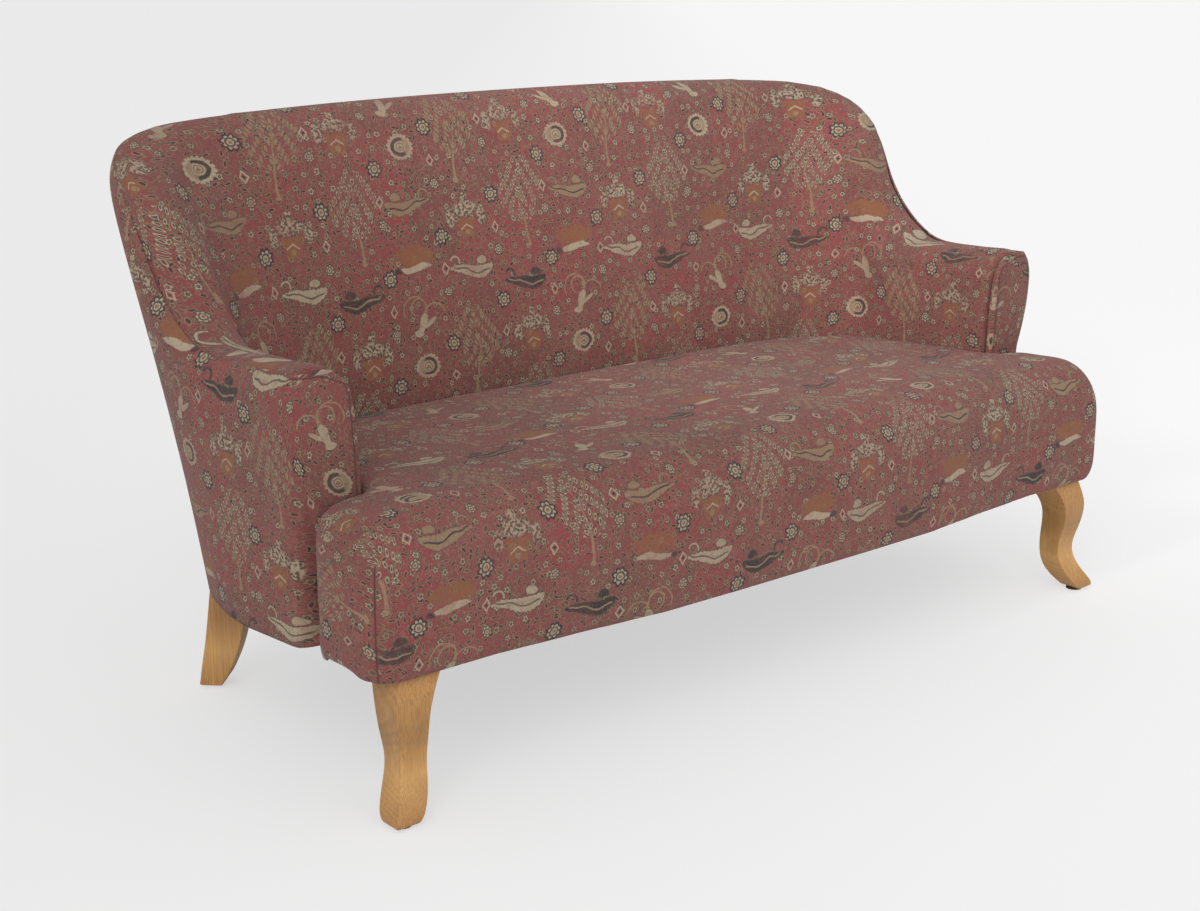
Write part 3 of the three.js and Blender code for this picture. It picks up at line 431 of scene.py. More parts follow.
class Print:
    """The printed ground, and the motifs that are laid over it one after another."""

    def __init__(self, sheet):
        self.sheet = sheet
        u, v, _ = sheet.parts(sheet.attribute("cloth"))
        self.flat = sheet.vector(u * 1000, v * 1000)
        a, b, _ = sheet.parts(sheet.noise(self.flat, 0.045, 2, 0.6, colour=True))
        self.u = u * 1000 + (a - 0.5) * 8
        self.v = v * 1000 + (b - 0.5) * 8
        self.place = sheet.vector(self.u, self.v)
        self.speckle = sheet.noise(self.flat, 0.42, 2, 0.7)
        self.colour = None

    def lay(self, mask, colour, strength):
        """Lays a colour over the print where the mask is 1."""
        self.colour = self.sheet.mix(mask * strength, self.colour, colour)

    def stamp(self, here, draw, *values):
        """Draws a motif where its cells are."""
        before = self.colour
        draw(*values)
        self.colour = self.sheet.mix(here, before, self.colour)

    def cells(self, wide, high, step, turns, across=0, up=0):
        """Places from the middle of each cell, and the cell's column and row."""
        s = self.sheet
        along = (self.u - across) / wide
        column = s.math("FLOOR", along)
        x = (along - column - 0.5) * wide
        turn = s.math("FLOORED_MODULO", column, float(turns))
        rise = (self.v - up - turn * step) / high
        row = s.math("FLOOR", rise)
        y = (rise - row - 0.5) * high
        return x, y, column, row

    def equal(self, a, *numbers):
        found = None
        for number in numbers:
            same = self.sheet.math("COMPARE", a, float(number), 0.5)
            found = same if found is None else found + same
        return found

    def ground(self):
        s = self.sheet
        cloud = s.noise(self.flat, 0.007, 4, 0.6)
        streak = s.noise(s.vector(self.u * 0.085, self.v * 0.004), 1.0, 3, 0.6)
        band = s.noise(s.vector(self.u * 0.004, self.v * 0.07), 1.0, 2, 0.6)
        wear = s.noise(self.flat, 0.05, 5, 0.65)
        rough_edge = s.noise(self.flat, 0.03, 3) * 0.5
        column = s.math("FLOOR", self.u / 92 + rough_edge)
        row = s.math("FLOOR", self.v / 118 + rough_edge)
        tone, other, _ = s.random(s.vector(column, row))
        self.colour = s.mix(s.ramp(tone * 0.6 + cloud * 0.9, 0.5, 0.95), RED, ROSE)
        self.lay(s.ramp(other * 0.5 + streak * 0.9, 0.62, 1.0), BROWN, 0.8)
        self.lay(s.ramp(band, 0.55, 0.75), ROSE, 0.5)
        self.lay(s.ramp(wear, 0.52, 0.68), BLUSH, 0.5)
        self.lay(s.ramp(streak, 0.58, 0.74), BLUSH, 0.3)
        fleck = s.noise(self.flat, 0.16, 3, 0.65)
        self.lay(s.ramp(fleck, 0.56, 0.66), OLIVE, 0.5)
        self.lay(s.ramp(fleck, 0.42, 0.34), BLUSH, 0.45)
        self.lay(s.ramp(self.speckle, 0.56, 0.72), BLUSH, 0.4)
        self.lay(s.ramp(self.speckle, 0.44, 0.3), BROWN, 0.5)

    def leaves(self, spacing, long, thin, presence, shift, strength):
        """Small scattered leaves, each turned its own way, dark with a pale edge."""
        s = self.sheet
        u, v = self.u + shift, self.v - shift
        (px, py, _), (turn, chance, tint) = s.scatter(s.vector(u, v), 1 / spacing)
        x, y = u - px, v - py
        lean = turn * math.tau
        c, k = s.math("COSINE", lean), s.sine(lean)
        a = (x * c + y * k) / long
        b = (y * c - x * k) / thin
        reach = s.length(a, b)
        here = s.math("LESS_THAN", chance, presence)
        self.lay(s.inside(reach - 1.6, 0.4) * here, TAN, 0.5 * strength)
        fill = s.mix(s.ramp(tint, 0.3, 0.7), INK, OLIVE)
        self.lay(s.inside(reach - 1.0, 0.3) * here, fill, 0.85 * strength)

    def buds(self, spacing, radius, presence, shift):
        """Small scattered flowers with a dark heart and pale petals."""
        s = self.sheet
        u, v = self.u - shift, self.v + shift
        (px, py, _), (turn, chance, tint) = s.scatter(s.vector(u, v), 1 / spacing, 0.75)
        x, y = u - px, v - py
        r = s.length(x, y)
        petals = s.math("COSINE", s.angle(y, x) * 5 + turn * math.tau)
        d = r - (petals * 0.22 + 1) * radius
        here = s.math("LESS_THAN", chance, presence)
        self.lay(s.inside(d - 1.4, 0.9) * here, OLIVE, 0.75)
        self.lay(s.inside(d, 0.8) * here, s.mix(tint, TAN, CREAM), 0.9)
        self.lay(s.inside(r - radius * 0.55, 0.8) * here, INK, 0.9)
        self.lay(s.inside(r - radius * 0.2, 0.6) * here, TAN, 0.8)

    def eye(self, x, y, wide, high):
        """A lozenge with a pale rim and a dark heart."""
        s = self.sheet
        d = (abs(x) / wide + abs(y) / high - 1.0) * wide
        self.lay(s.inside(d, 0.8), CREAM, 0.8)
        self.lay(s.inside(d + wide * 0.36, 0.8), ROSE, 0.9)
        self.lay(s.inside(s.length(x, y) - wide * 0.28, 0.8), INK, 0.9)

    def rosette(self, x, y, radius, petals, rim, heart):
        """A round flower: a rim of petals, a dark ring and a heart."""
        s = self.sheet
        r = s.length(x, y)
        lobes = abs(s.sine(s.angle(y, x) * (petals / 2)))
        edge = (lobes * 0.3 + 0.78) * radius
        self.lay(s.inside(r - edge), rim, 0.9)
        self.lay(s.inside(r - edge + radius * 0.26), CREAM, 0.85)
        self.lay(s.inside(abs(r - radius * 0.46) - radius * 0.09), INK, 0.85)
        self.lay(s.inside(r - radius * 0.2), heart, 0.9)

    def medallion(self, x, y):
        """A notched oval with an open dark ring."""
        s = self.sheet
        r = s.length(x / 1.2, y)
        a = s.angle(y, x)
        edge = abs(s.sine(a * 9)) * 3.2 + 19
        self.lay(s.inside(r - edge), CREAM, 0.85)
        self.lay(s.inside(r - 16.5), TAN, 0.85)
        ring = s.inside(abs(r - 13) - 2.6) * s.ramp(x, -9, -5)
        self.lay(ring, INK, 0.9)
        self.lay(s.inside(r - 9), CREAM, 0.7)
        coil = s.length(x + s.sine(a * 2) * 2, y) - 3.4
        self.lay(s.inside(coil), OCHRE, 0.9)
        self.lay(s.inside(abs(r - 6.3) - 0.8), OLIVE, 0.8)

    def long_leaf(self, x, y, fill, rib):
        """A long bent leaf with a waved rib, a speckled blade and a curled stalk."""
        s = self.sheet
        t = x / 47
        mid = s.sine(x / 16) * 3.5 + t * t * 8 - 3
        rise = y - mid
        half = s.root(s.most(1.0 - t * t, 0.0)) * (1.0 - t * 0.4) * 11
        notch = abs(s.math("FRACT", x / 8) - 0.5) * 3
        d = abs(rise) - half + notch
        curl = abs(s.length(x - 34, y - 15) - 10) - 1.5
        open_side = s.ramp(y - x * 0.4, -2, 2)
        leaflet = s.length((x + 24) / 1.6, y - 15 - s.sine(x / 5) * 1.2) - 6.5
        outer = s.least(s.least(d, leaflet), curl + (1.0 - open_side) * 9)
        self.lay(s.inside(outer - 1.6, 1.2), OLIVE, 0.6)
        self.lay(s.inside(outer, 0.8), fill, 0.95)
        self.lay(s.inside(outer, 0.8) * s.ramp(self.speckle, 0.5, 0.62), OLIVE, 0.45)
        wave = s.sine(x / 6.5) * 1.7 + t * 3
        self.lay(s.inside(abs(rise - wave) - 1.5, 0.8) * s.inside(abs(t) - 0.84, 0.1), rib, 0.9)

    def cloud_leaf(self, x, y):
        """A faded ochre leaf with a pale broken edge and a dark tip."""
        s = self.sheet
        ragged = (s.noise(self.flat, 0.12, 3) - 0.5) * 1.1
        r = s.length(x / 40, (y - 8) / 17) - 1.0 + ragged
        self.lay(s.inside(r, 0.25), OCHRE, 0.85)
        t = x / 36
        half = s.root(s.most(1.0 - t * t, 0.0)) * 8
        body = abs(y + 12 - s.sine(x / 13) * 3) - half + self.speckle * 4
        self.lay(s.inside(body, 1.2), CREAM, 0.9)
        tip = s.length((x + 37) / 1.5, y + 19 + x * 0.1) - 5
        self.lay(s.inside(tip, 1.2), INK, 0.8)

    def vase(self, x, y):
        """A bunch of pale flowers over an ochre pot with a light band."""
        s = self.sheet
        side = abs(x)
        pot = s.most(side - 15 - (y + 30) * 0.18, abs(y + 18) - 17)
        self.lay(s.inside(pot, 2), OCHRE, 0.85)
        band = abs(side * 0.62 + y + 12) - 1.6
        self.lay(s.inside(s.most(band, side - 13), 0.9), CREAM, 0.9)
        self.lay(s.inside(s.length(x, y + 26) - 5, 1.5), TAN, 0.8)
        petals = s.noise(self.flat, 0.19, 1)
        head = s.length(x / 27, (y - 16) / 14) - 1.0
        wing = s.length((side - 33) / 9, (y - 2) / 17) - 1.0
        crown = s.length(x / 9, (y - 36) / 8) - 1.0
        bunch = s.inside(s.least(s.least(head, wing), crown) + petals - 0.5, 0.2)
        self.lay(bunch, OLIVE, 0.75)
        self.lay(bunch * s.ramp(petals, 0.45, 0.53), CREAM, 0.85)
        self.lay(bunch * s.inside(abs(petals - 0.43) - 0.012, 0.012), INK, 0.5)

    def tulip(self, x, y):
        """A pale bud on a bent stalk, with long stamens that arch over."""
        s = self.sheet
        lean = x + y * 0.35
        bud = s.length((lean + 2) / 8, (y + 16) / 17) - 1.0 + s.sine(y / 4) * 0.08
        foot = s.length((x - 13) / 10, (y + 33) / 6) - 1.0
        leaf = s.length((x + 15 + y * 0.2) / 12, (y + 22 + x * 0.5) / 4.5) - 1.0
        body = s.least(s.least(bud, foot), leaf)
        above = s.ramp(y, -4, 2)
        near = abs(s.length(x - 10, y - 12) - 15) - 1.3
        far = abs(s.length(x - 17, y - 8) - 24) - 1.3
        left = abs(s.length(x + 24, y + 4) - 21) - 1.3
        lines = s.least(s.least(near, far), left)
        self.lay(s.inside(lines, 0.9) * above * s.inside(abs(y) - 36, 2), TAN, 0.95)
        self.lay(s.inside(body - 0.14, 0.15), OLIVE, 0.6)
        self.lay(s.inside(body, 0.12), CREAM, 0.9)
        self.lay(s.inside(body, 0.12) * s.ramp(self.speckle, 0.5, 0.6), TAN, 0.7)

    def tree(self, x, y, dark):
        """A small tree: a bent trunk, boughs that part and a crown of leaves, pale or dark-hearted."""
        s = self.sheet
        bend = x + s.sine(y / 30) * 5 + y * 0.12
        trunk = abs(bend) - (60 - y) * 0.018 - 0.3
        self.lay(s.inside(s.most(trunk, abs(y + 8) - 68), 0.9), TAN, 0.9)
        self.lay(s.inside(s.length(bend / 1.6, y + 76) - 3.6, 1.2), TAN, 0.9)
        side = abs(bend)
        crown = s.length(bend / 47, (y - 22) / 58) - 1.0
        within = s.inside(crown, 0.04)
        slant = y - side * 0.9 - side * side * 0.008
        bough = abs(s.math("FRACT", slant / 27) - 0.5) * 27
        self.lay(within * s.inside(bough - 0.9, 0.8) * s.ramp(y, -30, -26), TAN, 0.75)
        row = s.math("FLOOR", slant / 13.5)
        gx = (s.math("FRACT", side / 12.5 + row * 0.37) - 0.5) * 12.5
        gy = (s.math("FRACT", slant / 13.5) - 0.5) * 13.5
        dot = s.length(gx, gy * 0.8)
        self.lay(within * s.inside(dot - 4.3, 0.8), OLIVE, 0.6)
        self.lay(within * s.inside(dot - 3.3, 0.8), s.mix(dark, TAN, CREAM), 0.95)
        self.lay(within * s.inside(dot - 1.9, 0.8) * dark, INK, 0.9)

    def tendril(self, across, up, wide, high, swing):
        """Thin broken stems that wind upwards."""
        s = self.sheet
        x, y, _, _ = self.cells(wide, high, high * 0.4, 2, across, up)
        line = abs(x - s.sine(y * (math.tau / high)) * swing) - 0.5
        broken = s.ramp(s.noise(self.place, 0.03, 1), 0.46, 0.56)
        self.lay(s.inside(line, 0.8) * broken, TAN, 0.5)

    def motifs(self):
        """One motif in each cell, each worn and turned in its own way, and flowers between them."""
        s = self.sheet
        x, y, column, row = self.cells(COLUMN, TALL, STEP, COLUMNS)
        upper = s.math("GREATER_THAN", y, 0.0)
        low_y = y + TALL / 4 - upper * (TALL / 2)
        turn = s.math("FLOORED_MODULO", column, float(COLUMNS))
        level = s.math("FLOORED_MODULO", row, float(ROWS))
        tall_code = level * 3 + turn
        code = tall_code * 2 + upper
        flip, shift, fade = s.random(s.vector(column * 1.7 + upper * 3.1, row * 2.3 + 0.4))
        way = s.math("SIGN", flip - 0.5)
        mx = x * way + (shift - 0.5) * 12
        my = low_y + (fade - 0.5) * 8
        worn = s.ramp(s.noise(self.flat, 0.09, 4, 0.7), 0.3, 0.5) * 0.5 + 0.5
        ink = worn * (fade * 0.25 + 0.8)
        trees = self.equal(tall_code, 1, 5)
        self.stamp(trees * ink, self.tree, x * way, y, self.equal(tall_code, 5))
        for codes, draw, tones in (
            ((0,), self.long_leaf, (TAN, INK)),
            ((5,), self.long_leaf, (INK, TAN)),
            ((8,), self.long_leaf, (CREAM, OLIVE)),
            ((1,), self.medallion, ()),
            ((4, 9), self.vase, ()),
            ((6,), self.tulip, ()),
            ((7,), self.cloud_leaf, ()),
        ):
            self.stamp(self.equal(code, *codes) * ink, draw, mx, my, *tones)
        x, y, _, _ = self.cells(COLUMN, TALL, STEP, COLUMNS, COLUMN / 2, 28)
        self.rosette(x, y - 52, 15, 8, INK, OCHRE)
        self.eye(x, y + 4, 8, 11)
        self.rosette(x, y + 44, 10, 7, OLIVE, RED)


def printed_cloth():
    s = Sheet("printed_cloth")
    p = Print(s)
    p.ground()
    p.tendril(20, 0, 58, 190, 15)
    p.tendril(71, 60, 97, 150, 19)
    p.leaves(7.5, 2.4, 0.9, 0.75, 0, 0.9)
    p.leaves(11.5, 4.2, 1.6, 0.7, 31, 1.1)
    p.buds(27, 4.2, 0.8, 13)
    p.motifs()
    worn = s.noise(p.flat, 0.02, 4, 0.62)
    p.lay(s.ramp(worn, 0.5, 0.72), ROSE, 0.4)
    thread = s.noise(s.vector(p.u * 1.5, p.v * 0.1), 1.0, 2)
    weft = s.noise(s.vector(p.u * 0.1, p.v * 1.5), 1.0, 2)
    weave = thread * 0.5 + weft * 0.5
    p.lay(s.ramp(weave, 0.52, 0.66), BLUSH, 0.3)
    p.lay(s.ramp(weave, 0.47, 0.34), BROWN, 0.35)
    across, past, _ = s.parts(s.attribute("seam"))
    gap = s.most(abs(across * 1000), past * 1000)
    # A dark line along each seam, the seam itself with painted shade in its tuck, then a wider band of
    # painted shade beside it.
    p.lay(s.inside(gap - 1.1, 1.2), SEAM_AND_SHADE, 0.75)
    p.lay(s.inside(gap - 3, 6), BROWN, 0.4)
    yarn = s.sine(p.u * 4.2) * s.sine(p.v * 4.2)
    height = yarn * 0.3 + thread * 0.8 + weft * 0.8 - s.inside(gap - 1.0, 2.5) * 4
    normal = s.bump(height, 0.0005, 0.6)
    rough = s.ramp(worn, 0.2, 0.9) * -0.12 + 0.95
    return s.finish(p.colour, rough, normal,
                    Sheen_Weight=0.08, Sheen_Roughness=0.5, Specular_IOR_Level=0.2)


def oak(name, light, dark):
    """Oak whose growth rings stand square to the sofa's diagonals, with long pores up the grain."""
    s = Sheet(name)
    x, y, z = s.parts(s.object_point())
    out = (abs(x) + abs(y)) * math.sqrt(0.5)
    along = (abs(x) - abs(y)) * math.sqrt(0.5)
    bend = s.noise(s.vector(x * 9, y * 9, z * 4), 1.0, 2) * 0.0075
    ring = (out + bend + z * 0.03 + along * along * 2.0) / 0.0052
    year = s.math("FRACT", ring)
    late = s.ramp(year, 0.35, 0.9) * s.ramp(year, 1.0, 0.93)
    broad = s.noise(s.vector(out * 40, along * 22, z * 2), 1.0, 2)
    pore = s.noise(s.vector(x * 1300, y * 1300, z * 42), 1.0, 2, 0.6)
    ray = s.noise(s.vector(x * 420, y * 420, z * 12), 1.0, 2)
    line = s.noise(s.vector(x * 560 + bend * 300, y * 560, z * 7), 1.0, 2, 0.6)
    tone = s.mix(s.ramp(broad, 0.3, 0.7) * 0.6 + s.ramp(ray, 0.35, 0.7) * 0.3, light, dark)
    tone = s.mix(s.ramp(line, 0.5, 0.62) * 0.45, tone, (140, 98, 56))
    tone = s.mix(late * 0.3, tone, (138, 94, 50))
    tone = s.mix(s.ramp(pore, 0.54, 0.66) * 0.25, tone, (112, 74, 38))
    # Painted shade darkens the oak at the leg's bend, and a painted highlight lightens it on the foot.
    bent = s.ramp(abs(z - LEG_SHADE_HEIGHT), LEG_SHADE_REACH, 0)
    foot = s.ramp(abs(z - LEG_HIGHLIGHT_HEIGHT), LEG_HIGHLIGHT_REACH, 0)
    tone = s.mix(bent * 0.36, tone, (134, 98, 56))
    tone = s.mix(foot * 0.36, tone, (232, 184, 116))
    rough = s.ramp(pore, 0.4, 0.7) * 0.14 + 0.42
    normal = s.bump(late * 0.3 - s.ramp(pore, 0.55, 0.68) * 0.6, 0.0003, 0.5)
    return s.finish(tone, rough, normal, Coat_Weight=0.12, Coat_Roughness=0.3)


def planed_timber():
    s = Sheet("planed_timber")
    x, y, z = s.parts(s.object_point())
    grain = s.noise(s.vector(x * 14, y * 120, z * 120), 1.0, 3, 0.6)
    fleck = s.noise(s.vector(x * 90, y * 500, z * 500), 1.0, 1)
    tone = s.mix(s.ramp(grain, 0.3, 0.7), (206, 172, 126), (172, 134, 90))
    tone = s.mix(s.ramp(fleck, 0.6, 0.7) * 0.4, tone, (140, 100, 62))
    return s.finish(tone, grain * 0.2 + 0.55, s.bump(fleck, 0.0003, 0.4))


def woven(name, light, dark, pitch):
    """A plain weave, its threads at a pitch in metres."""
    s = Sheet(name)
    x, y, z = s.parts(s.object_point())
    k = 2 * math.pi / pitch
    weave = s.sine((x + y * 0.13) * k) * s.sine((z + y) * k)
    slub = s.noise(s.vector(x * 60, y * 400, z * 400), 1.0, 2)
    tone = s.mix(s.ramp(weave * 0.3 + slub, 0.2, 0.9), dark, light)
    return s.finish(tone, slub * 0.2 + 0.78, s.bump(weave, 0.0004, 0.5))


def foam():
    s = Sheet("foam")
    cells = s.noise(s.object_point(), 600, 2)
    tone = s.mix(s.ramp(cells, 0.35, 0.7), (224, 208, 170), (196, 178, 138))
    return s.finish(tone, cells * 0.1 + 0.85, s.bump(cells, 0.0006, 0.6))


def drawn_steel():
    s = Sheet("drawn_steel")
    x, y, z = s.parts(s.object_point())
    line = s.noise(s.vector(x * 900, y * 40, z * 900), 1.0, 2)
    tone = s.mix(line, (118, 120, 122), (152, 154, 156))
    return s.finish(tone, line * 0.2 + 0.28, s.bump(line, 0.0002, 0.3), Metallic=1.0)


def glide_plastic():
    s = Sheet("glide_plastic")
    grain = s.noise(s.object_point(), 900, 2)
    tone = s.mix(grain, (58, 52, 46), (74, 68, 60))
    return s.finish(tone, grain * 0.2 + 0.55, s.bump(grain, 0.0002, 0.4))


# Where the print lies on each piece

def blend(low, high, value):
    t = np.clip((value - low) / (high - low), 0, 1)
    return t * t * (3 - 2 * t)


def front_line(x):
    """How far forward the seat's bowed front lies at x."""
    share = np.abs(x) / SEAT_HALF
    bow = FRONT_BOW * (1 - blend(BOW_INNER, BOW_OUTER, share))
    return SEAT_FRONT - bow


def seat_print(co, normal, face_normal):
    """Over the seat's top and down its front, and from the top down its sides."""
    x, y, z = co.T
    nx, ny, nz = normal.T
    behind = y - front_line(x)
    lift = np.arctan2(np.maximum(nz, 0), np.maximum(-ny, 1e-6))
    over = behind - SEAT_ROLL * (1 - np.cos(lift))
    v = z + SEAT_ROLL * (lift - np.sin(lift)) + over * np.sin(lift)
    v_top = SEAT_TOP - SEAT_ROLL + SEAT_ROLL * (math.pi / 2 - 1) + behind
    tip = math.pi / 2 - np.arctan2(np.maximum(nz, 0), np.abs(nx))
    down = SEAT_TOP - z - SEAT_SIDE_ROLL * (1 - np.cos(tip))
    u_side = np.abs(x) + SEAT_SIDE_ROLL * (tip - np.sin(tip)) + down * np.sin(tip)
    fx, fy, _ = face_normal.T
    side = (np.abs(fx) > np.abs(fy)) & (np.abs(x) > SEAT_HALF * SEAT_SIDE_SHARE)
    u = np.where(side, np.sign(x) * u_side, x)
    v = np.where(side | (ny >= SEAT_FRONT_TILT), v_top, v)
    return u, v


def unit(rows):
    return rows / np.linalg.norm(rows, axis=1, keepdims=True)


def measured(line):
    """A line, and the distance along it."""
    steps = np.linalg.norm(np.diff(line, axis=0), axis=1)
    return line, np.concatenate([[0], np.cumsum(steps)])


def wall_plan():
    """The middle line of the back and one arm."""
    flat = WALL_HALF - WALL_CORNER
    turns = np.linspace(0, math.pi / 2, PLAN_STEPS)
    arc_x = flat + WALL_CORNER * np.sin(turns)
    arc_y = WALL_BACK - WALL_CORNER * (1 - np.cos(turns))
    return measured(np.array([(0.0, WALL_BACK), *zip(arc_x, arc_y), (WALL_FRONT_HALF, WALL_FRONT)]))


def along_wall(co, plan=None):
    """For each point, how far along the wall it lies, and the way from there to the seat."""
    line, run = plan or wall_plan()
    spot = np.stack([np.abs(co[:, 0]), co[:, 1]], 1)
    best = np.full(len(co), 1e9)
    part = np.zeros(len(co), int)
    t = np.zeros(len(co))
    last = len(line) - 2
    for i in range(last + 1):
        a, way = line[i], line[i + 1] - line[i]
        least = -LINE_ENDS if i == 0 else 0
        most = LINE_ENDS if i == last else 1
        share = np.clip(((spot - a) @ way) / (way @ way), least, most)
        gap = np.linalg.norm(spot - a - share[:, None] * way, axis=1)
        nearer = gap < best
        best = np.where(nearer, gap, best)
        part = np.where(nearer, i, part)
        t = np.where(nearer, share, t)
    course = unit(np.gradient(line, axis=0))
    start, way = line[part], (line[1:] - line[:-1])[part]
    middle = (part > 0) & (part < last)
    for _ in range(4):
        along = course[part] + (course[part + 1] - course[part]) * np.clip(t, 0, 1)[:, None]
        better = np.sum((spot - start) * along, 1) / np.sum(way * along, 1)
        t = np.where(middle, np.clip(better, -0.5, 1.5), t)
    where = run[part] + t * np.linalg.norm(way, axis=1)
    return np.sign(co[:, 0]) * where, unit(np.stack([along[:, 1], -along[:, 0]], 1))


def inside_plan(co, normal):
    """The wall's inside face, from the middle of the back to the arm's front."""
    way = unit(np.array([0, WALL_MIDDLE]) - co[:, :2])
    near = np.abs(co[:, 2] - PLAN_HEIGHT) < PLAN_BAND
    near &= np.einsum("ij,ij->i", way, normal[:, :2]) > PLAN_FACING
    spot = np.stack([np.abs(co[near, 0]), co[near, 1]], 1)
    turn = np.arctan2(spot[:, 0], spot[:, 1] - WALL_MIDDLE)
    place = np.minimum((turn / turn.max() * PLAN_STEPS).astype(int), PLAN_STEPS - 1)
    line = np.array([spot[place == i].mean(0) for i in range(PLAN_STEPS) if (place == i).any()])
    line[0, 0] = 0
    for _ in range(3):
        line[1:-1] = (line[:-2] + 2 * line[1:-1] + line[2:]) / 4
    course = unit(np.gradient(line, axis=0))
    return measured(line + np.stack([-course[:, 1], course[:, 0]], 1) * PLAN_OUT)


def inside_print(co, normal, face_normal):
    """Up the inside of the back or arm and on over its roll, whichever way that runs."""
    where, inward = along_wall(co, inside_plan(co, normal))
    side = np.sign(co[:, 0])
    facing = side * normal[:, 0] * inward[:, 0] + normal[:, 1] * inward[:, 1]
    ahead = normal[:, 1] * inward[:, 0] - side * normal[:, 0] * inward[:, 1]
    up = np.maximum(normal[:, 2], 0)
    slant = np.maximum(np.hypot(ahead, up), 1e-6)
    lift = np.arctan2(slant, facing)
    past = ROLL_RADIUS * (lift - np.sin(lift)) / slant
    return where + side * past * ahead, co[:, 2] + past * up


def outside_print(co, normal, face_normal):
    """Straight up the outside of the wall."""
    return along_wall(co)[0], co[:, 2]


def arm_print(co, normal, face_normal):
    """Along the outside of the arm, round its front corner and across its front."""
    where, v = outside_print(co, normal, face_normal)
    z, _, outer = front_edges("arm_facing_right")
    x, y, height = co.T
    round_corner = np.clip(FRONT_EDGE - y, 0, FRONT_BEND)
    inwards = np.maximum(np.interp(height, z, outer) - np.abs(x), 0)
    across = np.where(y < FRONT_EDGE - FRONT_FROM, inwards, 0)
    return where + np.sign(x) * (round_corner + across), v


def lay_print(thing, placing, shift):
    """Writes the cloth coordinates, in metres, at each face's corners."""
    mesh = thing.data
    co, normal = points_of(mesh), normals_of(mesh)
    corner = read(mesh.loops, "vertex_index", kind=np.int32)[:, 0]
    count = read(mesh.polygons, "loop_total", kind=np.int32)[:, 0]
    faces = np.repeat(read(mesh.polygons, "normal", 3), count, axis=0)
    u, v = placing(co[corner], normal[corner], faces)
    write(mesh, "cloth", "CORNER", np.stack([u + shift[0], v + shift[1], np.zeros_like(u)], 1))


# Upholstery

def spread(mesh, values, times):
    """Evens out values over the mesh, each towards the mean of its neighbours."""
    ends = read(mesh.edges, "vertices", 2, np.int32)
    a, b = ends.T
    size = len(mesh.vertices)
    count = np.bincount(ends.ravel(), minlength=size)
    for _ in range(times):
        total = [np.bincount(a, v[b], size) + np.bincount(b, v[a], size) for v in values.T]
        values = (values + np.stack(total, 1) / count[:, None]) / 2
    return values


def faired(mesh):
    """The mesh's points on a smooth surface that keeps its size."""
    start = points_of(mesh)
    even = spread(mesh, start, FAIR_TIMES)
    set_points(mesh, even)
    out = normals_of(mesh)
    gap = np.einsum("ij,ij->i", start - even, out)
    set_points(mesh, start)
    return even + out * spread(mesh, gap[:, None], FAIR_TIMES)


def swell(thing, loose):
    """Blows a slightly smaller shape up like a filled cover, and caps how far it moves."""
    rest, out = points_of(thing.data), normals_of(thing.data)
    set_points(thing.data, rest - out * SHRINK * loose)
    modifier = thing.modifiers.new("swell", "CLOTH")
    cloth = modifier.settings
    cloth.quality = 5
    cloth.mass = 0.3
    cloth.tension_stiffness = 20
    cloth.compression_stiffness = 20
    cloth.shear_stiffness = 10
    cloth.bending_stiffness = 1.5
    cloth.use_pressure = True
    cloth.uniform_pressure_force = PRESSURE
    cloth.effector_weights.gravity = 0
    modifier.point_cache.frame_start = 1
    modifier.point_cache.frame_end = SWELL_FRAMES
    for step in range(1, SWELL_FRAMES + 1):
        scene.frame_set(step)
    made = thing.evaluated_get(bpy.context.evaluated_depsgraph_get())
    move = points_of(made.data) - rest
    thing.modifiers.remove(modifier)
    scene.frame_set(1)
    rise = np.einsum("ij,ij->i", move, out)
    move -= out * rise[loose[:, 0] > 0.5].mean()
    reach = np.linalg.norm(move, axis=1, keepdims=True)
    move *= np.minimum(1, SWELL_LIMIT / np.maximum(reach, 1e-9))
    set_points(thing.data, rest + move * loose)


def pad(name, nodes, placing, free, shift, smooth=None, seam=None, voxel=VOXEL, hem=None):
    """A padded piece in the space of these nodes: remeshed, smoothed and swelled."""
    thing = joined_copy(name, nodes)
    apply_modifier(thing, "REMESH", mode="VOXEL", voxel_size=voxel)
    start = points_of(thing.data)
    rest = faired(thing.data)
    if smooth:
        rest = start + (rest - start) * smooth(start)[:, None]
    if hem:
        low = rest[:, 2].min()
        share = (rest[:, 2] - low) / HEM_RISE
        flat = np.clip((share - HEM_FLAT) / (1 - HEM_FLAT), 0, 1)
        rest[:, 2] = np.where(share < 1, hem + flat * (low + HEM_RISE - hem), rest[:, 2])
    set_points(thing.data, rest)
    swell(thing, free(rest)[:, None])
    apply_modifier(thing, "SUBSURF", levels=1, render_levels=1)
    dress(thing, placing, shift, seam)
    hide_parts(*nodes)


def dress(thing, placing, shift, seam=None):
    for face in thing.data.polygons:
        face.use_smooth = True
    lay_print(thing, placing, shift)
    mark_seam(thing, seam)
    paint(thing, CLOTH)
    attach(thing, "root")


def mark_seam(thing, seam):
    """Writes how far each point lies across a seam and past its ends, in metres."""
    co = points_of(thing.data)
    values = np.ones((len(co), 3))
    if seam:
        values[:, 0], values[:, 1] = seam(co)
    write(thing.data, "seam", "POINT", values)


def seat_corner_seam(co):
    """Down each front corner of the seat, from under the roll."""
    x, y, z = co.T
    side = np.abs(x) - (SEAT_HALF - SEAT_CORNER)
    ahead = SEAT_FRONT + SEAT_CORNER - y
    across = (side - ahead) * math.sqrt(0.5)
    past = np.maximum(z - (SEAT_TOP - SEAM_DROP), -np.minimum(side, ahead))
    return across, past


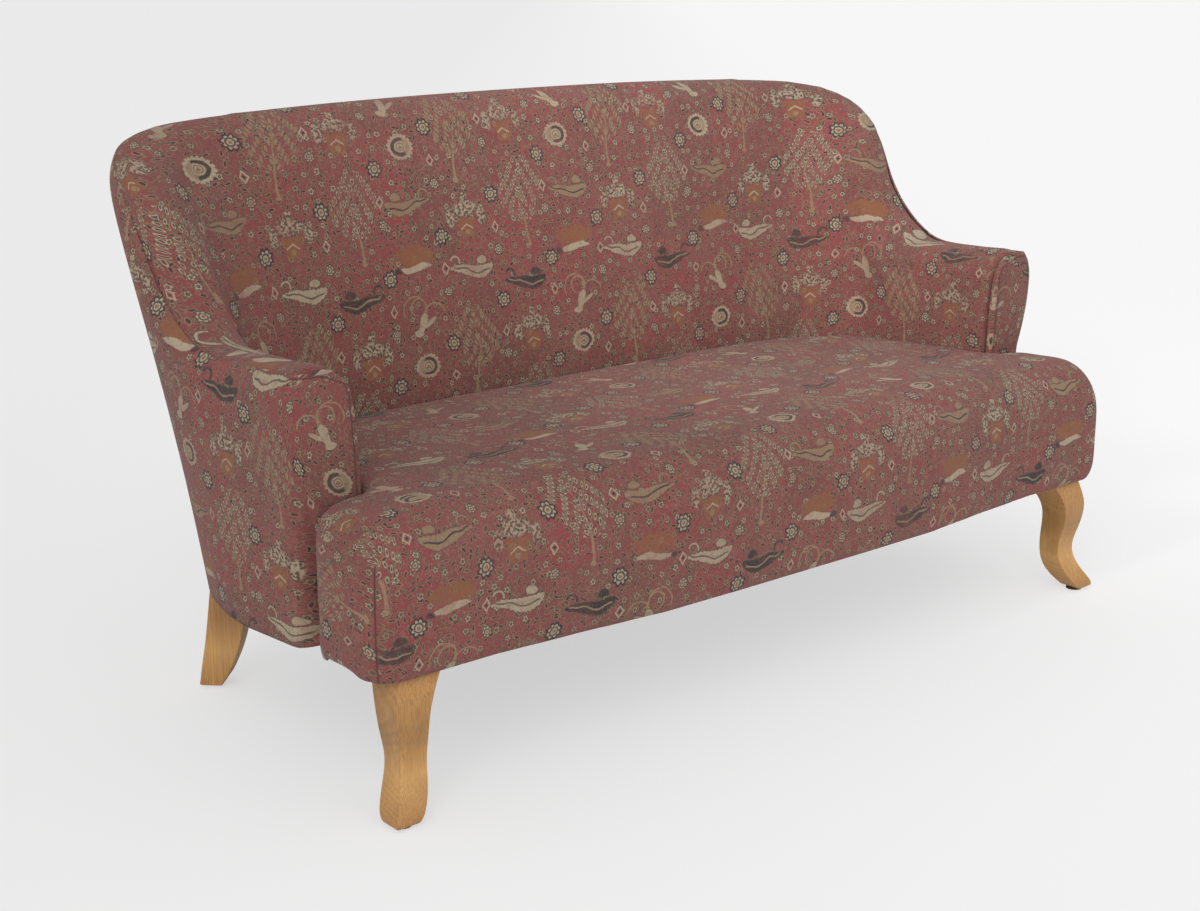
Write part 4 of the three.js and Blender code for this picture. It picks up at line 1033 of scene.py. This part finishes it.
def arch_seam(co):
    """Round the top and down the inner edge of the arm's front."""
    z, inner, _ = front_edges("arm_facing_right")
    edge = ARCH_ROUND - (np.abs(co[:, 0]) - np.interp(co[:, 2], z, inner))
    under = ARCH_ROUND - (z.max() + ARCH_RISE / 2 - co[:, 2])
    corner = np.hypot(np.maximum(edge, 0), np.maximum(under, 0))
    inwards = ARCH_ROUND - corner - np.minimum(np.maximum(edge, under), 0)
    return inwards - ARCH_SEAM, co[:, 1] - FRONT_EDGE


def outer_cover(name, node, placing, shift, facing=None):
    """The cover's outer faces as smooth cloth, carried across the arm's front where it has one."""
    thing = joined_copy(name, [node])
    activate(thing)
    bpy.ops.object.mode_set(mode="EDIT")
    shape = bmesh.from_edit_mesh(thing.data)
    for face in shape.faces:
        middle = face.calc_center_median()
        _, inward = along_wall(np.array([middle]))
        way = Vector((math.copysign(1, middle.x) * inward[0][0], inward[0][1], 0))
        out = -way + Vector((0, 0, COVER_LEAN))
        face.select_set(face.normal.dot(out) < COVER_EDGE)
    bmesh.update_edit_mesh(thing.data)
    bpy.ops.mesh.delete(type="FACE")
    bpy.ops.mesh.select_all(action="SELECT")
    bpy.ops.mesh.tris_convert_to_quads(face_threshold=0.7, shape_threshold=1.2)
    bpy.ops.object.mode_set(mode="OBJECT")
    if facing:
        wrap_front(thing, *front_edges(facing))
    apply_modifier(thing, "SUBSURF", levels=3, render_levels=3)
    apply_modifier(thing, "SOLIDIFY", thickness=COVER_THICK, offset=-1)
    dress(thing, placing, shift, arch_seam if facing else None)
    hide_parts(node, *([facing] if facing else []))


def front_edges(node):
    """Heights up the arm's front panel, and its inner and outer edge at each."""
    co = points_of(frame["nodes"][node].data)
    high = np.round(co[:, 2] / LEVEL_STEP)
    levels = np.unique(high)
    rows = [co[high == level] for level in levels]
    z = np.array([row[:, 2].mean() for row in rows])
    inner = np.array([np.abs(row[:, 0]).min() for row in rows])
    outer = np.array([np.abs(row[:, 0]).max() for row in rows])
    return z, inner, outer


def wrap_front(thing, z, inner, outer):
    """Carries the cover's front edge round the corner and across the arm's front, row by row."""
    shape = bmesh.new()
    shape.from_mesh(thing.data)
    bmesh.ops.remove_doubles(shape, verts=shape.verts, dist=COVER_MERGE)
    edge = [e for e in shape.edges if e.is_boundary and max(v.co.y for v in e.verts) < FRONT_EDGE
            and abs(e.verts[0].co.z - e.verts[1].co.z) > LEVEL_STEP]
    top = max(v.co.z for e in edge for v in e.verts)
    for share, y in FRONT_ROWS:
        made = bmesh.ops.extrude_edge_only(shape, edges=edge)["geom"]
        edge = [item for item in made if isinstance(item, bmesh.types.BMEdge)]
        for point in (item for item in made if isinstance(item, bmesh.types.BMVert)):
            out, far = np.interp(point.co.z, z, outer), np.interp(point.co.z, z, inner)
            point.co.x = math.copysign(out + (far - out) * share, point.co.x)
            point.co.y = y
    for point in shape.verts:
        if point.co.y < FRONT_EDGE and point.co.z > top - ARCH_REACH:
            out, far = np.interp(top, z, outer), np.interp(top, z, inner)
            share = np.clip((out - abs(point.co.x)) / (out - far), 0, 1)
            point.co.z += ARCH_RISE * (1 - (2 * share - 1) ** 2)
    bmesh.ops.recalc_face_normals(shape, faces=shape.faces)
    lead = max(shape.faces, key=lambda face: -face.calc_center_median().y)
    if lead.normal.y > 0:
        bmesh.ops.reverse_faces(shape, faces=shape.faces)
    shape.to_mesh(thing.data)
    shape.free()


def seat_free(co):
    """The seat swells on top and in front, and stays put where it meets the frame."""
    return blend(LOOSE_FROM, LOOSE_BY, co[:, 2])


def wall_spot(where):
    """The point of the wall's middle line at a distance along it."""
    line, run = wall_plan()
    x = np.interp(np.abs(where), run, line[:, 0])
    y = np.interp(np.abs(where), run, line[:, 1])
    return np.stack([np.sign(where) * x, y], 1)


def inside_free(co):
    """The wall's pad swells towards the seat, and stays put under the outer covers."""
    where, inward = along_wall(co)
    middle = np.stack([np.sign(co[:, 0]) * inward[:, 0], inward[:, 1]], 1)
    side = np.einsum("ij,ij->i", co[:, :2] - wall_spot(where), middle)
    return blend(-WALL_LOOSE, WALL_LOOSE, side)


def seat_smooth(co):
    """The seat keeps its crisp hem."""
    return blend(LOOSE_FROM, SMOOTH_BY, co[:, 2])


def upholster():
    pad("seat", ["seat_cover", "seat_foam"], seat_print, seat_free, (0.05, 0.0),
        seat_smooth, seat_corner_seam, hem=HEM)
    wall = ["inside_back_cover", "back_foam"]
    for side in SIDES:
        wall += [f"inside_arm_cover_{side}", f"arm_foam_{side}"]
    pad("inside_back_and_arms", wall, inside_print, inside_free, (0.0, 0.02), voxel=WALL_VOXEL)
    outer_cover("outside_back", "outside_back_cover", outside_print, (0.11, 0.0))
    for side in SIDES:
        outer_cover(f"outside_arm_{side}", f"outside_arm_cover_{side}", arm_print, (0.03, 0.05),
                    f"arm_facing_{side}")


# Legs

def leg(name, node, form):
    """A leg drawn up level by level from its foot, rounded, and turned to the sofa's corner."""
    foot, *rest = form["levels"]
    z, width, sweep = foot
    deselect()
    if form["thick"]:
        bpy.ops.mesh.primitive_cube_add(size=1, location=(sweep, 0, z + LEG_START / 2))
        made = bpy.context.object
        made.scale = (width, form["thick"], LEG_START)
    else:
        bpy.ops.mesh.primitive_cylinder_add(
            vertices=4, radius=width / 2, depth=LEG_START, location=(sweep, 0, z + LEG_START / 2))
        made = bpy.context.object
    bpy.ops.object.transform_apply(location=True, rotation=True, scale=True)
    made.name = name
    bpy.ops.object.mode_set(mode="EDIT")
    bpy.ops.mesh.select_mode(type="FACE")
    for next_z, next_width, next_sweep in rest:
        shape = bmesh.from_edit_mesh(made.data)
        top = max(face.calc_center_median().z for face in shape.faces)
        for face in shape.faces:
            face.select_set(face.calc_center_median().z > top - LEG_START / 4 and face.normal.z > 0.9)
        bmesh.update_edit_mesh(made.data)
        step = (next_sweep - sweep, 0, next_z - top)
        bpy.ops.mesh.extrude_region_move(TRANSFORM_OT_translate={"value": step})
        share = next_width / width
        across = 1 if form["thick"] else share
        bpy.ops.transform.resize(value=(share, across, 1), center_override=(next_sweep, 0, next_z))
        width, sweep = next_width, next_sweep
    bpy.ops.object.mode_set(mode="OBJECT")
    apply_modifier(made, "BEVEL", width=form["round"], segments=2, limit_method="ANGLE",
                   angle_limit=LEG_EDGE)
    apply_modifier(made, "SUBSURF", levels=3, render_levels=3)
    activate(made)
    bpy.ops.object.shade_smooth()
    made.rotation_euler.z = form["turn"]
    made.location = (form["place"][0], form["place"][1], 0)
    bpy.ops.object.transform_apply(location=True, rotation=True, scale=True)
    made.data.materials.append(LEG_OAK)
    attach(made, "root")
    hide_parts(node)
    return made


def opposite(thing, name, node):
    """The same leg on the sofa's other side."""
    made = thing.copy()
    made.data = thing.data.copy()
    made.name = name
    scene.collection.objects.link(made)
    activate(made)
    made.scale.x = -1
    bpy.ops.object.transform_apply(location=True, rotation=True, scale=True)
    bpy.ops.object.mode_set(mode="EDIT")
    bpy.ops.mesh.select_all(action="SELECT")
    bpy.ops.mesh.normals_make_consistent(inside=False)
    bpy.ops.object.mode_set(mode="OBJECT")
    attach(made, "root")
    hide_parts(node)


def finish_frame():
    """The pieces that keep the frame's own shapes get their finishes."""
    finishes = {
        "frame_timber": planed_timber(),
        "webbing": woven("webbing", (62, 58, 54), (26, 24, 22), 0.003),
        "lining": woven("lining", (40, 38, 36), (20, 19, 18), 0.0012),
        "steel": drawn_steel(),
        "glide": glide_plastic(),
        "foam": foam(),
    }
    for row in frame["record"]["subparts"]:
        if row["material_slot"] in finishes:
            paint(frame["nodes"][row["node"]], finishes[row["material_slot"]])


# Stage, lamps and camera

def floor():
    deselect()
    bpy.ops.mesh.primitive_plane_add(size=FLOOR_SIZE, location=(0, 0, 0))
    plane = bpy.context.object
    plane.name = "floor"
    s = Sheet("pale_floor")
    x, y, _ = s.parts(s.object_point())
    # Painted shade: the floor's colour darkens towards the camera's left and brightens towards its
    # right.
    turn = math.radians(CAMERA_TURN)
    across = s.ramp(x * math.cos(turn) + y * -math.sin(turn), -FLOOR_FADE, FLOOR_FADE)
    tone = s.mix(across, FLOOR_PAINTED_SHADE, FLOOR_BRIGHT)
    s.finish(tone, 1.0, Specular_IOR_Level=0.0)
    glow = s.nodes.new("ShaderNodeEmission")
    s.feed(glow.inputs["Color"], tone)
    path = s.nodes.new("ShaderNodeLightPath")
    seen = s.math("MULTIPLY", Num(s, path.outputs["Is Camera Ray"]), FLOOR_GLOW)
    both = s.nodes.new("ShaderNodeMixShader")
    s.feed(both.inputs[0], seen)
    s.links.new(s.shader.outputs[0], both.inputs[1])
    s.links.new(glow.outputs[0], both.inputs[2])
    s.links.new(both.outputs[0], s.nodes["Material Output"].inputs["Surface"])
    plane.data.materials.append(s.material)


def sun(name, power, down, turn, spread):
    """A broad light from afar, slanting down from a turn about the sofa."""
    data = bpy.data.lights.new(name, "SUN")
    data.energy = power
    data.angle = math.radians(spread)
    thing = bpy.data.objects.new(name, data)
    thing.rotation_euler = (math.radians(90 - down), 0, math.radians(turn))
    scene.collection.objects.link(thing)


def inside_lamp():
    """A soft lamp on the inside of the arm farther from the camera."""
    data = bpy.data.lights.new("inside", "SPOT")
    data.energy = INSIDE_POWER
    data.spot_size = math.radians(INSIDE_CONE)
    data.spot_blend = 1
    data.shadow_soft_size = INSIDE_SOFT
    thing = bpy.data.objects.new("inside", data)
    thing.location = INSIDE_PLACE
    way = Vector(INSIDE_AIM) - Vector(INSIDE_PLACE)
    thing.rotation_euler = way.to_track_quat("-Z", "Y").to_euler()
    scene.collection.objects.link(thing)


def light():
    world = bpy.data.worlds.new("studio")
    world.use_nodes = True
    sky = world.node_tree.nodes["Background"]
    sky.inputs[0].default_value = (1, 1, 1, 1)
    sky.inputs[1].default_value = SKY
    scene.world = world
    sun("key", **KEY)
    sun("fill", **FILL)
    inside_lamp()


def camera():
    data = bpy.data.cameras.new("camera")
    data.lens = CAMERA_LENS
    data.sensor_width = SENSOR
    data.clip_end = CAMERA_REACH
    thing = bpy.data.objects.new("camera", data)
    thing.location = CAMERA_PLACE
    thing.rotation_euler = (math.radians(90 - CAMERA_DOWN), 0, math.radians(-CAMERA_TURN))
    scene.collection.objects.link(thing)
    scene.camera = thing


low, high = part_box("seat_cover")
SEAT_TOP = high.z
SEAT_FRONT = low.y + FRONT_BOW

camera()
light()
floor()
CLOTH = printed_cloth()
upholster()
LEG_OAK = oak("leg_oak", LEG_LIGHT, LEG_DARK)
for end, form in LEGS.items():
    first = leg(f"{end}_leg_oak_right", f"{end}_leg_right", form)
    opposite(first, f"{end}_leg_oak_left", f"{end}_leg_left")
finish_frame()
scene.view_settings.view_transform = "Standard"
